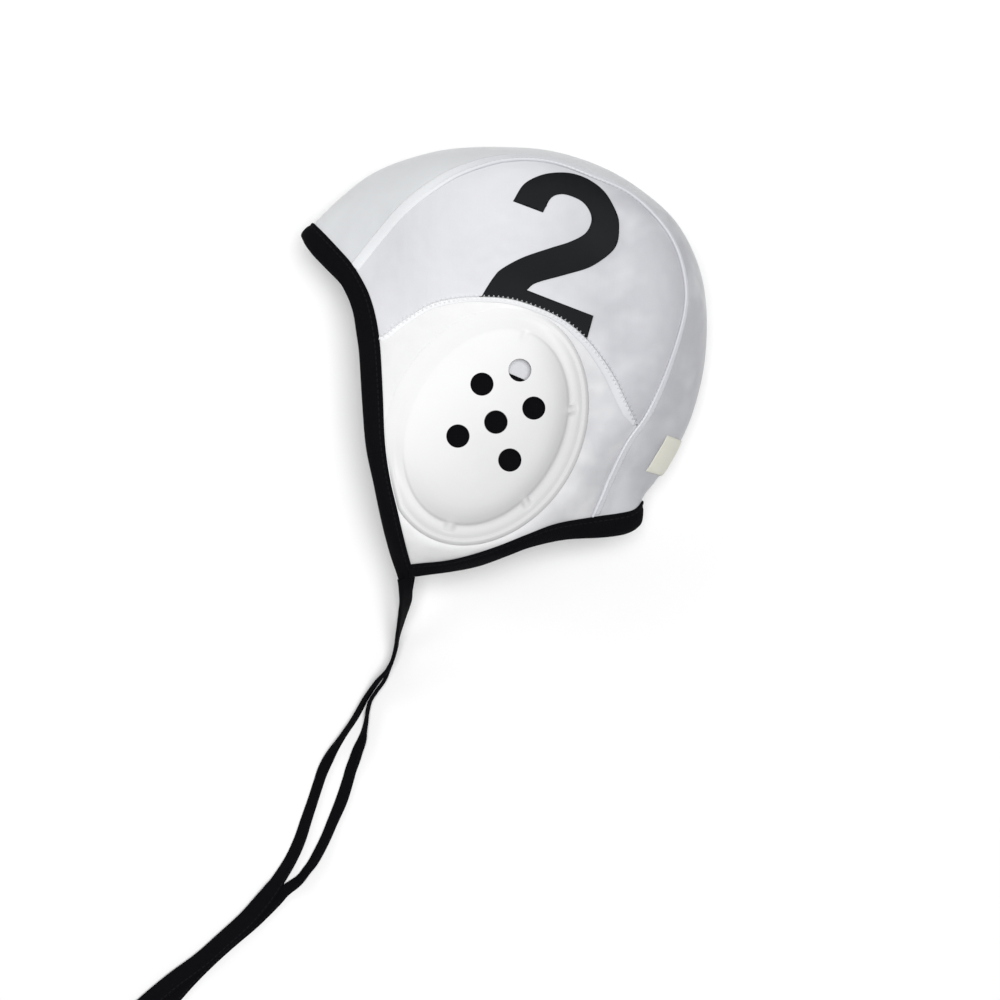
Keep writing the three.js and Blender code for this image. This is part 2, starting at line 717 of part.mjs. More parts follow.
function binding(rows, fold, steps) {
  const outside = channelGap / 2;
  const inside = -clothWall - channelGap / 2;
  const turn = bindingWall / edgeWidth;
  const middle = -clothWall / 2;
  // Columns: depth and offset of the channel's outer face, then of its inner face.
  const section = [
    [1, outside + bindingWall, 1, outside],
    [0.66, outside + bindingWall, 0.66, outside],
    [0.32, outside + bindingWall, 0.32, outside],
    [0.05, outside + 0.8 * bindingWall, turn, outside],
    [0, middle, turn, middle],
    [0.05, inside - 0.8 * bindingWall, turn, inside],
    [1, inside - bindingWall, 1, inside],
  ];
  const at = (first) =>
    grid(steps, section.length, (u, v) => {
      const spread = 2 * u - 1;
      const across = Math.sign(spread) * Math.abs(spread) ** crowding;
      const [depth, offset] = section[Math.round(v * (section.length - 1))].slice(first);
      return offBinding(rows, fold, across, depth, offset);
    });
  return wallBetween(at(0), at(2));
}

// Ear guard: a rim on the seat, a groove and a raised dome with a flat face, all one moulding.
function earGuard(side) {
  const top = guardRise;
  const under = pieceGap;
  // Columns: distance in from the rim's edge as a share of rimWidth, height over the seat.
  const outerProfile = [
    [0, under],
    [0, 1.6],
    [0.2, 2.9],
    [0.45, 2.6],
    [0.75, 1.9],
    [0.96, 2.1],
    [1.1, 4.3],
    [1.4, 5.9],
    [2, top],
  ];
  const innerProfile = [
    [0, under],
    [0.1, under],
    [0.3, under],
    [0.5, under],
    [0.8, under],
    [1.12, under],
    [1.27, 2.2],
    [1.5, 3.7],
    [2.1, top - guardWall],
  ];
  const turns = 28;
  const point = (angle, distance, height) =>
    new THREE.Vector3(
      ear.x + distance * Math.cos(angle),
      ear.y + distance * Math.sin(angle),
      middleZ + side * (seatHeight + height),
    );
  const surface = (profile, centreHeight) =>
    Array.from({ length: turns }, (_, i) => {
      const angle = (2 * Math.PI * i) / turns;
      const rim = rimRadius(angle);
      const dome = domeRadius(angle);
      const ring = profile.map(([share, height]) => {
        const radius = share < 1 ? mix(rim, dome, share) : dome - (share - 1) * rimWidth;
        return point(angle, radius, height);
      });
      return [...ring, point(angle, 0, centreHeight)];
    });
  const [outer, inner] = [surface(outerProfile, top), surface(innerProfile, top - guardWall)];
  let guard = solidOf(wallBetween(outer, inner, true));
  for (const { x, y } of holePlaces()) {
    const drill = new THREE.CylinderGeometry(holeDiameter / 2, holeDiameter / 2, 4 * guardWall, 12);
    drill.rotateX(Math.PI / 2);
    drill.translate(x, y, middleZ + side * (seatHeight + top));
    guard = guard.subtract(solidOf(drill));
  }
  return geometryOf(guard);
}

// Six holes on a square grid: a cross of five and one more in a corner.
function holePlaces() {
  const centre = { x: ear.x + holeShift[0] * holePitch, y: ear.y + holeShift[1] * holePitch };
  const steps = [
    [0, 0],
    [1, 0],
    [-1, 0],
    [0, 1],
    [0, -1],
    [1, 1],
  ];
  const [c, s] = [Math.cos(radians(holeTilt)), Math.sin(radians(holeTilt))];
  return steps.map(([i, j]) => ({
    x: centre.x + holePitch * (i * c - j * s),
    y: centre.y + holePitch * (i * s + j * c),
  }));
}

// The printed figure: a thin layer over the side panel, cut to the figure's outline.
const printPlaces = crownPlaces.filter((place) => place > 4.6 && place < 12.4);

function printedNumber(side) {
  const start = side > 0 ? 0 : figureWidth;
  const flip = (across) => start + side * across * numberHeight;
  const place = ([across, up]) => new THREE.Vector2(flip(across), up * numberHeight);
  const shape = new THREE.Shape();
  shape.moveTo(...place(figureOuter[0]).toArray());
  shape.splineThru(figureOuter.slice(1).map(place));
  shape.lineTo(...place([0.743, 0.181]).toArray());
  shape.lineTo(...place([0.762, 0]).toArray());
  shape.lineTo(...place([0, 0]).toArray());
  shape.splineThru(figureInner.map(place));
  shape.closePath();
  const prism = new THREE.ExtrudeGeometry(shape, {
    depth: 2 * bellyHeight,
    bevelEnabled: false,
    curveSegments: 2,
  });
  prism.rotateZ(radians(numberTilt));
  const foot = earSeamPoint(figureFoot);
  prism.translate(
    foot.x + figureShift[0] * numberHeight,
    foot.y + figureShift[1] * numberHeight,
    side > 0 ? middleZ : middleZ - 2 * bellyHeight,
  );
  const at = (offset) =>
    sweep(printPlaces, crescentColumns, (place, v) => {
      const along = place / earSeamEnd;
      const margin = crescentShare(along, seamGap);
      const start = crescentShare(along, earSeamWidth / 2 + pieceGap);
      const across = THREE.MathUtils.clamp(mix(margin, 1 - margin, v), start, 0.985);
      const { x, y } = crescentPoint(along, across);
      return offCloth(x, y, side, offset);
    });
  const layer = wallBetween(at(pieceGap + printThickness), at(pieceGap));
  return geometryOf(solidOf(layer).intersect(solidOf(prism)));
}

// Back label: a cloth tab across the crown line above the nape.
function backLabel() {
  const at = (offset) =>
    grid(4, 7, (u, v) =>
      offCrown(mix(labelStart, labelEnd, u), mix(-labelReach, labelReach, v), offset),
    );
  return wallBetween(at(pieceGap + labelThickness), at(pieceGap));
}

// Ties: folded tape along its path, which may roll about its own length and curl in on itself.
const tieStart = { x: -0.2421 * capLength, y: -0.495 * capHeight, z: tieThickness / 2 + 0.2 };

function tiePoint([x, y, rise]) {
  return new THREE.Vector3(
    tieStart.x + x * tieReach,
    tieStart.y + y * tieReach,
    tieStart.z + Math.max(0, rise) * middleZ,
  );
}

function tie(path, steps) {
  const half = { width: tieWidth / 2, thickness: tieThickness / 2 };
  // Columns: across and up of the tape's upper face, in shares of its half width and thickness.
  const edge = [
    [-1, 0.4],
    [-0.88, 1],
    [0.88, 1],
    [1, 0.4],
  ];
  const last = path.length - 1;
  const at = (sign) =>
    grid(steps, edge.length, (u, v) => {
      const [x, y, rise, roll, spread] = between(path, u * last);
      const step = 0.02;
      const ahead = between(path, Math.min(last, u * last + step));
      const behind = between(path, Math.max(0, u * last - step));
      const along = tiePoint(ahead).sub(tiePoint(behind)).normalize();
      const across = new THREE.Vector3(0, 0, 1).cross(along).normalize();
      across.applyAxisAngle(along, radians(roll));
      const up = along.clone().cross(across);
      const [a, b] = edge[Math.round(v * (edge.length - 1))];
      return tiePoint([x, y, rise])
        .addScaledVector(across, a * half.width * spread)
        .addScaledVector(up, (sign * b * half.thickness) / Math.sqrt(spread));
    });
  return wallBetween(at(1), at(-1));
}

const finish = (color, roughness) => new THREE.MeshStandardMaterial({ color, roughness, metalness: 0 });
const panelCloth = finish(0xd2d6dc, 0.6);
const earCloth = finish(0xe9ebef, 0.6);
const seamTape = finish(0xf0f3f6, 0.65);
const blackTape = finish(0x0c0c10, 0.8);
const plastic = finish(0xf6f6f6, 0.35);
const print = finish(0x1e2022, 0.5);
const labelCloth = finish(0xe9e7dc, 0.8);

const cap = new THREE.Group();
const cords = new THREE.Group();

function add(group, name, geometry, material) {
  const mesh = new THREE.Mesh(geometry, material);
  mesh.name = name;
  group.add(mesh);
}

add(cap, "centre_panel", centrePanel(), panelCloth);
for (const [name, side] of [
  ["left", 1],
  ["right", -1],
]) {
  add(cap, name + "_side_panel", sidePanel(side), panelCloth);
  add(cap, name + "_ear_panel", earPanel(side), earCloth);
  add(cap, name + "_long_seam", longSeam(side), seamTape);
  add(cap, name + "_ear_seam", earSeamBand(side), seamTape);
  add(cap, name + "_ear_guard", earGuard(side), plastic);
  add(cap, name + "_number", printedNumber(side), print);
}
add(cap, "face_binding", binding(faceEdge, 0, 47), blackTape);
add(cap, "neck_binding", binding(neckEdge, 1, 33), blackTape);
add(cap, "back_label", backLabel(), labelCloth);
add(cords, "left_tie", tie(leftTiePath, 38), blackTape);
add(cords, "right_tie", tie(rightTiePath, 38), blackTape);

// The origin is below the middle of the cap's box, on the floor.
const box = new THREE.Box3().setFromObject(cap);
const part = new THREE.Group();
part.add(cap, cords);
part.position.set(-(box.min.x + box.max.x) / 2, -(box.min.y + box.max.y) / 2, -box.min.z);

export default part;
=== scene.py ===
import math

import bmesh
import bpy
import numpy as np
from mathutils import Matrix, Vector


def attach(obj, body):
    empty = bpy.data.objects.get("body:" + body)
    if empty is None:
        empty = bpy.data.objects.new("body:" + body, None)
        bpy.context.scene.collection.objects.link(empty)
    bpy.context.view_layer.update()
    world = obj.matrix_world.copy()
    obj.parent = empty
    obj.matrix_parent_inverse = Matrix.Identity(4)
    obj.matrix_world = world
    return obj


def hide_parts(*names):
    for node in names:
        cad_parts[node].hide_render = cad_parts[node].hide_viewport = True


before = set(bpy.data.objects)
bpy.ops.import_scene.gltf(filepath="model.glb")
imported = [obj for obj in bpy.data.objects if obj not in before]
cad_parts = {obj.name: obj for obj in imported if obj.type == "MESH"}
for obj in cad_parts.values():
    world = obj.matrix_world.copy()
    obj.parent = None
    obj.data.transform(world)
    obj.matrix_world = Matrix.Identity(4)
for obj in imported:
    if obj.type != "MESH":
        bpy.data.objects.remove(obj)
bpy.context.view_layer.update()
scene = bpy.context.scene


# CAMERA, FLOOR AND LIGHT
# The cap lies on a plain white table and is seen from straight above, 1 m over its middle
# plane. A pale sky fills in softly, a broad soft panel hangs above it, a little to the right, and a
# weaker one stands at the upper left.
middle_z = 0.0395
camera = bpy.data.objects.new("camera", bpy.data.cameras.new("camera"))
camera.data.lens = 76.6
camera.data.sensor_width = 36
camera.data.clip_start = 0.05
camera.location = (-0.00108, -0.06426, middle_z + 1.0)
scene.collection.objects.link(camera)
scene.camera = camera


def link_object(name, mesh):
    data = bpy.data.meshes.new(name)
    mesh.to_mesh(data)
    mesh.free()
    made = bpy.data.objects.new(name, data)
    scene.collection.objects.link(made)
    return made


def finish(name, roughness, specular, sheen=0.0):
    made = bpy.data.materials.new(name)
    made.use_nodes = True
    shader = made.node_tree.nodes["Principled BSDF"]
    for label, value in (
        ("Roughness", roughness), ("Specular IOR Level", specular), ("Sheen Weight", sheen),
        ("Sheen Roughness", 0.5),
    ):
        shader.inputs[label].default_value = value
    return made, made.node_tree, shader


floor_mesh = bmesh.new()
bmesh.ops.create_grid(floor_mesh, x_segments=8, y_segments=8, size=12)
floor = link_object("floor", floor_mesh)
floor_paint, _, floor_shader = finish("white_table", 0.7, 0.2)
floor_shader.inputs["Base Color"].default_value = (0.93, 0.93, 0.93, 1)
floor.data.materials.append(floor_paint)

sky = bpy.data.worlds.new("studio")
sky.use_nodes = True
glow = sky.node_tree.nodes["Background"]
glow.inputs["Color"].default_value = (1.0, 1.0, 1.0, 1)
glow.inputs["Strength"].default_value = 0.2
scene.world = sky
scene.view_settings.view_transform = "Standard"

for name, place, size, power in [
    ("top_panel", (0.15, -0.03, 2.4), 1.0, 52.0),
    ("side_panel", (-0.9, 0.55, 0.75), 0.6, 2.6),
]:
    panel = bpy.data.objects.new(name, bpy.data.lights.new(name, "AREA"))
    panel.data.size = size
    panel.data.energy = power
    panel.location = place
    aim = Vector((0, 0, 0.03)) - Vector(place)
    panel.rotation_euler = aim.to_track_quat("-Z", "Y").to_euler()
    scene.collection.objects.link(panel)


# TIES
# Each tie is the loose end of the face binding: knitted black tape, folded in half along its
# length and sewn shut near the open edge. Both drop from the cap's lower corners, turn on edge
# side by side, part round a narrow eye and lie flat on each other from there on.
def node_group(name, inputs, outputs):
    """A shader group. Its Vector is a vector, and every other socket is a number."""
    tree = bpy.data.node_groups.new(name, "ShaderNodeTree")
    for labels, way in ((inputs, "INPUT"), (outputs, "OUTPUT")):
        for label in labels:
            kind = "NodeSocketVector" if label == "Vector" else "NodeSocketFloat"
            tree.interface.new_socket(label, in_out=way, socket_type=kind)
    return tree, tree.nodes.new("NodeGroupInput"), tree.nodes.new("NodeGroupOutput")


def calc(tree, operation, a, b=None, c=None):
    node = tree.nodes.new("ShaderNodeMath")
    node.operation = operation
    for socket, value in zip(node.inputs, (a, b, c)):
        if isinstance(value, bpy.types.NodeSocket):
            tree.links.new(value, socket)
        elif value is not None:
            socket.default_value = value
    return node.outputs[0]


# Knitted loops: V-shaped stitches in columns. Vector is in metres over the cloth.
knit, knit_in, knit_out = node_group("knit", ["Vector", "Columns", "Rows"], ["Height"])
split = knit.nodes.new("ShaderNodeSeparateXYZ")
knit.links.new(knit_in.outputs["Vector"], split.inputs[0])
column = calc(knit, "MULTIPLY", split.outputs["Y"], knit_in.outputs["Columns"])
row = calc(knit, "MULTIPLY", split.outputs["X"], knit_in.outputs["Rows"])
lean = calc(knit, "ABSOLUTE", calc(knit, "SUBTRACT", calc(knit, "FRACT", column), 0.5))
loop = calc(knit, "SINE", calc(knit, "MULTIPLY", calc(knit, "ADD", row, lean), 2 * math.pi))
valley = calc(knit, "SINE", calc(knit, "MULTIPLY", calc(knit, "FRACT", column), math.pi))
height = calc(knit, "MULTIPLY_ADD", loop, 0.3, 0.7)
height = calc(knit, "MULTIPLY", height, calc(knit, "SQRT", valley))
knit.links.new(height, knit_out.inputs["Height"])

# Unevenness in large soft patches, for colour and gloss.
patches, patches_in, patches_out = node_group("patches", ["Vector", "Scale"], ["Soft", "Fine"])
for label, factor, detail in [("Soft", 1.0, 2.0), ("Fine", 9.0, 6.0)]:
    noise = patches.nodes.new("ShaderNodeTexNoise")
    noise.inputs["Detail"].default_value = detail
    noise.inputs["Roughness"].default_value = 0.55
    patches.links.new(patches_in.outputs["Vector"], noise.inputs["Vector"])
    scale = calc(patches, "MULTIPLY", patches_in.outputs["Scale"], factor)
    patches.links.new(scale, noise.inputs["Scale"])
    patches.links.new(noise.outputs["Fac"], patches_out.inputs[label])

# One row of sewing stitches along a tape, as a mask. Vector is in metres along and across it.
sewing, sewing_in, sewing_out = node_group("stitch_row", ["Vector", "Across", "Pitch", "Thread"], ["Mask"])
split = sewing.nodes.new("ShaderNodeSeparateXYZ")
sewing.links.new(sewing_in.outputs["Vector"], split.inputs[0])
away = calc(sewing, "SUBTRACT", split.outputs["Y"], sewing_in.outputs["Across"])
beside = calc(sewing, "DIVIDE", calc(sewing, "ABSOLUTE", away), sewing_in.outputs["Thread"])
turn = calc(sewing, "FRACT", calc(sewing, "DIVIDE", split.outputs["X"], sewing_in.outputs["Pitch"]))
ahead = calc(sewing, "ABSOLUTE", calc(sewing, "SUBTRACT", turn, 0.5))
ahead = calc(sewing, "POWER", calc(sewing, "MULTIPLY", ahead, 2.4), 4.0)
reached = calc(sewing, "ADD", calc(sewing, "MULTIPLY", beside, beside), ahead)
inside = calc(sewing, "SUBTRACT", 1.0, reached)
sewing.links.new(calc(sewing, "MAXIMUM", inside, 0.0), sewing_out.inputs["Mask"])


def cut_and_place(tree):
    """Where a point lies on the flat cloth, and where in the frame."""
    uv = tree.nodes.new("ShaderNodeUVMap")
    uv.uv_map = "cut"
    return uv.outputs[0], tree.nodes.new("ShaderNodeTexCoord").outputs["Object"]


def place_group(tree, group, vector, **values):
    node = tree.nodes.new("ShaderNodeGroup")
    node.node_tree = group
    tree.links.new(vector, node.inputs["Vector"])
    for label, value in values.items():
        node.inputs[label].default_value = value
    return node.outputs


def blend_colours(tree, factor, first, second, share=None):
    if share:
        factor = calc(tree, "MULTIPLY", factor, share)
    node = tree.nodes.new("ShaderNodeMix")
    node.data_type = "RGBA"
    tree.links.new(factor, node.inputs["Factor"])
    for label, value in (("A", first), ("B", second)):
        socket = [s for s in node.inputs if s.name == label and s.type == "RGBA"][0]
        if isinstance(value, bpy.types.NodeSocket):
            tree.links.new(value, socket)
        else:
            socket.default_value = (*value, 1)
    return [s for s in node.outputs if s.type == "RGBA"][0]


def raise_surface(tree, shader, height, strength, distance):
    before = shader.inputs["Normal"].links
    bump = tree.nodes.new("ShaderNodeBump")
    if before:
        tree.links.new(before[0].from_socket, bump.inputs["Normal"])
    bump.inputs["Strength"].default_value = strength
    bump.inputs["Distance"].default_value = distance
    tree.links.new(height, bump.inputs["Height"])
    tree.links.new(bump.outputs[0], shader.inputs["Normal"])


def colour_and_gloss(tree, shader, base, source, low, high):
    tree.links.new(base, shader.inputs["Base Color"])
    node = tree.nodes.new("ShaderNodeMapRange")
    node.inputs["To Min"].default_value = low
    node.inputs["To Max"].default_value = high
    tree.links.new(source, node.inputs["Value"])
    tree.links.new(node.outputs[0], shader.inputs["Roughness"])


# Black knitted tape: matte, a little dusty grey in patches, a painted highlight on the raised loops, and one
# row of stitches.
def black_tape(name, stitches_at):
    made, tree, shader = finish(name, 0.85, 0.03)
    cut, where = cut_and_place(tree)
    loops = place_group(tree, knit, cut, Columns=1500, Rows=900)[0]
    dust_and_shade = place_group(tree, patches, where, Scale=60)
    thread = place_group(tree, sewing, cut, Across=stitches_at, Pitch=0.0026, Thread=0.0003)[0]
    # The raised loops are painted lighter: a painted highlight.
    base = blend_colours(tree, loops, (0.0014, 0.0014, 0.0020), (0.0045, 0.0045, 0.0060))
    base = blend_colours(tree, dust_and_shade["Fine"], base, (0.0070, 0.0070, 0.0085), 0.5)
    base = blend_colours(tree, thread, base, (0.012, 0.012, 0.014))
    colour_and_gloss(tree, shader, base, dust_and_shade["Soft"], 0.68, 0.9)
    raise_surface(tree, shader, calc(tree, "MULTIPLY_ADD", thread, 1.6, loops), 0.55, 0.00022)
    return made


def between(rows, place, closed=False):
    """A smooth curve through the rows of a table, read at row numbers that may fall between rows."""
    rows = np.asarray(rows, float)
    place = np.asarray(place, float)
    if closed:
        first = np.floor(place).astype(int)
        a, b, c, d = (rows[(first + k) % len(rows)] for k in (-1, 0, 1, 2))
    else:
        first = np.clip(np.floor(place).astype(int), 0, len(rows) - 2)
        longer = np.vstack([2 * rows[0] - rows[1], rows, 2 * rows[-1] - rows[-2]])
        a, b, c, d = (longer[first + k] for k in (0, 1, 2, 3))
    t = (place - first)[..., None]
    return b + 0.5 * t * (c - a + t * (2 * a - 5 * b + 4 * c - d)) + 0.5 * t**3 * (3 * b - 3 * c + d - a)


def arc_lengths(points):
    return np.concatenate([[0], np.cumsum(np.linalg.norm(np.diff(points, axis=0), axis=1))])


def unit(vectors):
    return vectors / np.linalg.norm(vectors, axis=1)[:, None]


def places(mesh):
    return np.array([vert.co for vert in mesh.verts])


def move_verts(mesh, points):
    for vert, point in zip(mesh.verts, points):
        vert.co = point


def shade_smooth(piece, angle=None):
    piece.data.polygons.foreach_set("use_smooth", [True] * len(piece.data.polygons))
    if angle:
        piece.data.set_sharp_from_angle(angle=math.radians(angle))


def link_mesh(mesh, name, look, angle=None):
    made = link_object(name, mesh)
    made.data.materials.append(look)
    shade_smooth(made, angle)
    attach(made, "root")
    return made


def lay_flat(mesh, flat):
    """Gives each vertex its place on the flat cloth."""
    layer = mesh.loops.layers.uv.new("cut")
    mesh.verts.index_update()
    for face in mesh.faces:
        for corner in face.loops:
            corner[layer].uv = flat[corner.vert.index]


def woven_grid(rows, columns, place, cut):
    """A grid laid over a surface: place(u, v) gives points in metres and cut(u, v) the flat cloth."""
    mesh = bmesh.new()
    bmesh.ops.create_grid(mesh, x_segments=rows, y_segments=columns, size=1)
    u, v = (places(mesh)[:, :2].T + 1) / 2
    lay_flat(mesh, cut(u, v))
    move_verts(mesh, place(u, v))
    return mesh


tie_width = 0.009
tie_thickness = 0.0016
# Points on each tie's middle line: x, y and z in mm, the tape's roll in degrees, and its width as a
# share of tie_width where it curls in.
left_tie_rows = [
    (-44.96, -100.04, 54.4, -42, 1), (-44.79, -105.32, 52.3, -50, 0.96),
    (-45.06, -111.14, 47, -56, 0.92), (-46.14, -116.12, 41, -66, 0.9),
    (-47.54, -121.19, 34, -76, 0.88), (-48.99, -126.37, 27, -83, 0.86),
    (-50.31, -131.54, 20.5, -90, 0.85), (-51.46, -136.67, 15.8, -90, 0.84),
    (-53.06, -141.64, 13.6, -90, 0.82), (-55.64, -146.52, 13, -88, 0.8),
    (-60.09, -151.62, 9.6, -84, 0.78), (-63.86, -156.82, 5.6, -82, 0.74),
    (-67.11, -161.84, 4, -80, 0.7), (-69.69, -166.74, 3.6, -76, 0.68),
    (-72.51, -171.62, 3.5, -76, 0.66), (-75.84, -176.49, 3.4, -76, 0.64),
    (-79.16, -181.39, 3.2, -70, 0.62), (-82.39, -186.29, 2.9, -55, 0.6),
    (-85.14, -191.22, 2.5, -32, 0.6), (-87.49, -196.17, 1.8, -12, 0.6),
    (-89.24, -201.12, 1.3, 0, 0.58), (-92.41, -210.87, 1.3, 0, 0.58),
    (-95.69, -220.64, 1.3, 0, 0.62), (-98.91, -230.39, 1.3, 0, 0.66),
    (-103.39, -240.14, 1.4, 0, 0.68), (-109.26, -249.69, 2.6, 0, 0.74),
    (-112.61, -254.29, 4, 0, 0.84), (-116.46, -259.24, 3.6, 0, 0.92),
    (-125.04, -269.04, 3.2, 0, 0.95), (-135.76, -278.82, 3.1, 0, 0.95),
    (-146.71, -288.57, 3.1, 0, 0.95), (-159.86, -298.29, 3.1, 0, 0.96),
    (-171.56, -308.04, 3.1, 0, 0.98), (-180.56, -316.32, 3.1, 0, 1),
]
right_tie_rows = [
    (-44.96, -100.04, 23.3, 45, 1), (-45.74, -106.62, 21, 52, 0.95),
    (-46.46, -112.52, 17.5, 60, 0.9), (-47.49, -117.52, 14, 70, 0.88),
    (-48.71, -122.54, 10.5, 80, 0.86), (-49.99, -127.57, 7.2, 88, 0.84),
    (-51.16, -132.57, 4.9, 90, 0.84), (-52.14, -137.49, 4.1, 90, 0.84),
    (-53.49, -142.37, 4.1, 90, 0.82), (-55.34, -147.24, 4, 90, 0.8),
    (-57.39, -152.12, 3.9, 90, 0.8), (-60.91, -156.99, 3.8, 90, 0.76),
    (-64.11, -161.87, 3.7, 90, 0.72), (-65.44, -166.74, 3.6, 90, 0.7),
    (-66.19, -171.62, 3.4, 84, 0.66), (-67.16, -176.52, 3.2, 76, 0.64),
    (-68.39, -181.39, 3.2, 54, 0.62), (-70.41, -186.32, 2.7, 35, 0.62),
    (-72.11, -191.27, 2.1, 18, 0.62), (-73.91, -196.19, 1.6, 6, 0.62),
    (-75.29, -201.12, 1.3, 0, 0.63), (-78.41, -210.87, 1.3, 0, 0.66),
    (-82.51, -220.64, 1.3, 0, 0.6), (-86.66, -230.32, 1.8, 10, 0.56),
    (-91.71, -239.92, 2.7, 38, 0.55), (-95.26, -244.77, 2.9, 52, 0.55),
    (-99.16, -249.64, 2.8, 46, 0.57), (-105.84, -254.77, 1.4, 6, 0.64),
    (-111.61, -259.69, 1.15, 0, 0.86), (-122.11, -269.47, 1.05, 0, 0.95),
    (-133.59, -279.24, 1.05, 0, 0.95), (-144.31, -288.99, 1.05, 0, 0.95),
    (-154.09, -298.77, 1.05, 0, 0.97), (-162.86, -308.52, 1.05, 0, 1),
    (-170.66, -316.34, 1.05, 0, 1),
]
# The upper half of the folded tape's section, across and up in shares of its half width and half
# thickness. The lower half mirrors it, with the slit between the two layers at the open edge.
upper_layer = [
    (-1.0, 0.0), (-0.985, 0.5), (-0.94, 0.85), (-0.8, 1.0), (-0.3, 0.93), (0.2, 0.92), (0.6, 1.0),
    (0.72, 0.86), (0.84, 1.0), (0.95, 0.9), (0.99, 0.5), (0.94, 0.08),
]
tie_section = upper_layer + [(across, -up) for across, up in upper_layer[::-1]]


def tie_mesh(path, steps):
    last = len(path) - 1
    section = np.array(tie_section) * [tie_width / 2, tie_thickness / 2]
    fine = between(path, np.linspace(0, last, 1200))
    gone = arc_lengths(fine[:, :3])

    def section_at(v):
        return section[np.rint(v * (len(section) - 1)).astype(int)]

    def place(u, v):
        at = np.interp(u * gone[-1], gone, np.linspace(0, last, len(fine)))
        points = between(path, at)
        ahead, behind = (between(path, np.clip(at + step, 0, last)) for step in (0.02, -0.02))
        along = unit((ahead - behind)[:, :3])
        across = unit(np.cross([0, 0, 1], along))
        over = np.cross(along, across)
        roll, curl = np.radians(points[:, 3])[:, None], points[:, 4][:, None]
        side = across * np.cos(roll) + over * np.sin(roll)
        up = np.cross(along, side)
        spot = section_at(v)
        return points[:, :3] + side * spot[:, :1] * curl + up * spot[:, 1:] / np.sqrt(curl)

    def cut(u, v):
        return np.stack([u * gone[-1], section_at(v)[:, 0]], 1)

    mesh = woven_grid(steps, len(section) - 1, place, cut)
    bmesh.ops.remove_doubles(mesh, verts=mesh.verts, dist=1e-6)
    bmesh.ops.holes_fill(mesh, edges=[edge for edge in mesh.edges if edge.is_boundary], sides=0)
    bmesh.ops.recalc_face_normals(mesh, faces=mesh.faces)
    return mesh, gone[-1]


tie_tape = black_tape("tie_tape", tie_width * 0.36)
for name, rows in (("left_tie", left_tie_rows), ("right_tie", right_tie_rows)):
    path = np.array(rows) / [1000, 1000, 1000, 1, 1]
    mesh, length = tie_mesh(path, 420)
    tape = link_mesh(mesh, name + "_tape", tie_tape, 50)
    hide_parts(name)


# CENTRE PANEL
# The middle strip of the cap, cut from silvery white swimwear knit. It runs from the brow over
# the crown to the nape and folds over the head's middle line, where the cap is creased flat.
cap_length = 0.190
cap_height = 0.200
belly_height = 0.040
seat_height = 0.033
cloth_wall = 0.0012
floor_room = 0.0006
shoulder = 1.6
floor_bend = 0.0015
cap_shift = np.array([0.001037, -0.001044, 0.0])
cap_size = np.array([cap_length, cap_height])
ear = np.array([-0.045, -0.15]) * cap_size
cap_centre = np.array([*ear, middle_z]) + cap_shift

# The plan's tables give x and y in thousandths of the cap's length and height.
# Columns: crown line x and y, long seam x and y, fullness, squareness, from brow to nape.
crown = np.array([
    (-501, 302, -400, 184, 0.76, 1.6), (-471, 333, -364, 222, 0.76, 1.6),
    (-402, 396, -307, 286, 0.83, 1.85), (-328, 449, -245, 348, 0.9, 3),
    (-239, 483, -174, 397, 0.95, 6), (-135, 504, -102, 433, 0.99, 11), (-11, 506, 1, 459, 1, 19),
    (113, 496, 106, 455, 1, 23), (231, 462, 213, 419, 1, 22), (328, 410, 306, 376, 1, 22),
    (419, 335, 388, 297, 0.99, 17), (476, 236, 427, 212, 0.97, 12.5),
    (498, 130, 433, 119, 0.95, 8.5), (493, -1, 398, -5, 0.93, 4.4),
    (459, -128, 351, -112, 0.9, 2.6), (402, -234, 297, -189, 0.86, 1.8),
    (373, -272, 257, -268, 0.83, 1.75), (340, -316, 221, -349, 0.8, 1.7),
    (331, -377, 192, -402, 0.76, 1.6),
]) / [1000, 1000, 1000, 1000, 1, 1]
# Columns: x, y, fullness, squareness of the outline that the cloth would close to below the edges.
closing = np.array([
    (268, -418, 0.8, 1.7), (176, -449, 0.86, 2.2), (81, -479, 0.9, 2.4), (-45, -510, 0.88, 2.4),
    (-185, -517, 0.86, 2.4), (-285, -515, 0.84, 2.4), (-358, -418, 0.88, 2.4),
    (-393, -304, 0.91, 2.5), (-415, -199, 0.92, 2.5), (-434, -85, 0.91, 2.4), (-458, 25, 0.86, 2.2),
    (-485, 143, 0.8, 1.9), (-506, 245, 0.77, 1.7),
]) / [1000, 1000, 1, 1]
# Columns: outer edge x and y, inner edge x and y of the bindings.
face_edge = np.array([
    (-501, 300, -471, 333), (-484, 270, -442, 305), (-453, 239, -407, 269), (-407, 194, -371, 230),
    (-381, 151, -344, 189), (-366, 111, -324, 149), (-358, 64, -308, 97), (-351, 18, -298, 34),
    (-343, -89, -291, -74), (-333, -194, -286, -186), (-314, -279, -274, -268),
    (-293, -378, -255, -344), (-276, -446, -239, -410), (-263, -488, -223, -478),
]) / 1000
neck_edge = np.array([
    (-208, -491, -210, -461), (-128, -480, -142, -454), (-60, -466, -81, -440),
    (8, -442, -14, -419), (62, -423, 52, -394), (142, -408, 124, -369), (233, -404, 210, -355),
    (286, -398, 280, -346), (314, -389, 319, -337), (331, -377, 340, -316),
]) / 1000
crown_last = len(crown) - 1
binding_width = 0.0095
# How far the cloth's own edge lies in from a binding's outer edge, as a share of its width.
cloth_edge = 0.0032 / binding_width

dome_length = 0.093
dome_width = 0.068
dome_tilt = math.radians(62)
rim_width = 0.010


def bearing(away):
    """Angles and lengths of arrows in the plan."""
    return np.arctan2(away[:, 1], away[:, 0]), np.hypot(away[:, 0], away[:, 1])


def polar(angle, distance):
    """Points in the plan, seen from the ear."""
    return ear + np.stack([distance * np.cos(angle), distance * np.sin(angle)], 1)


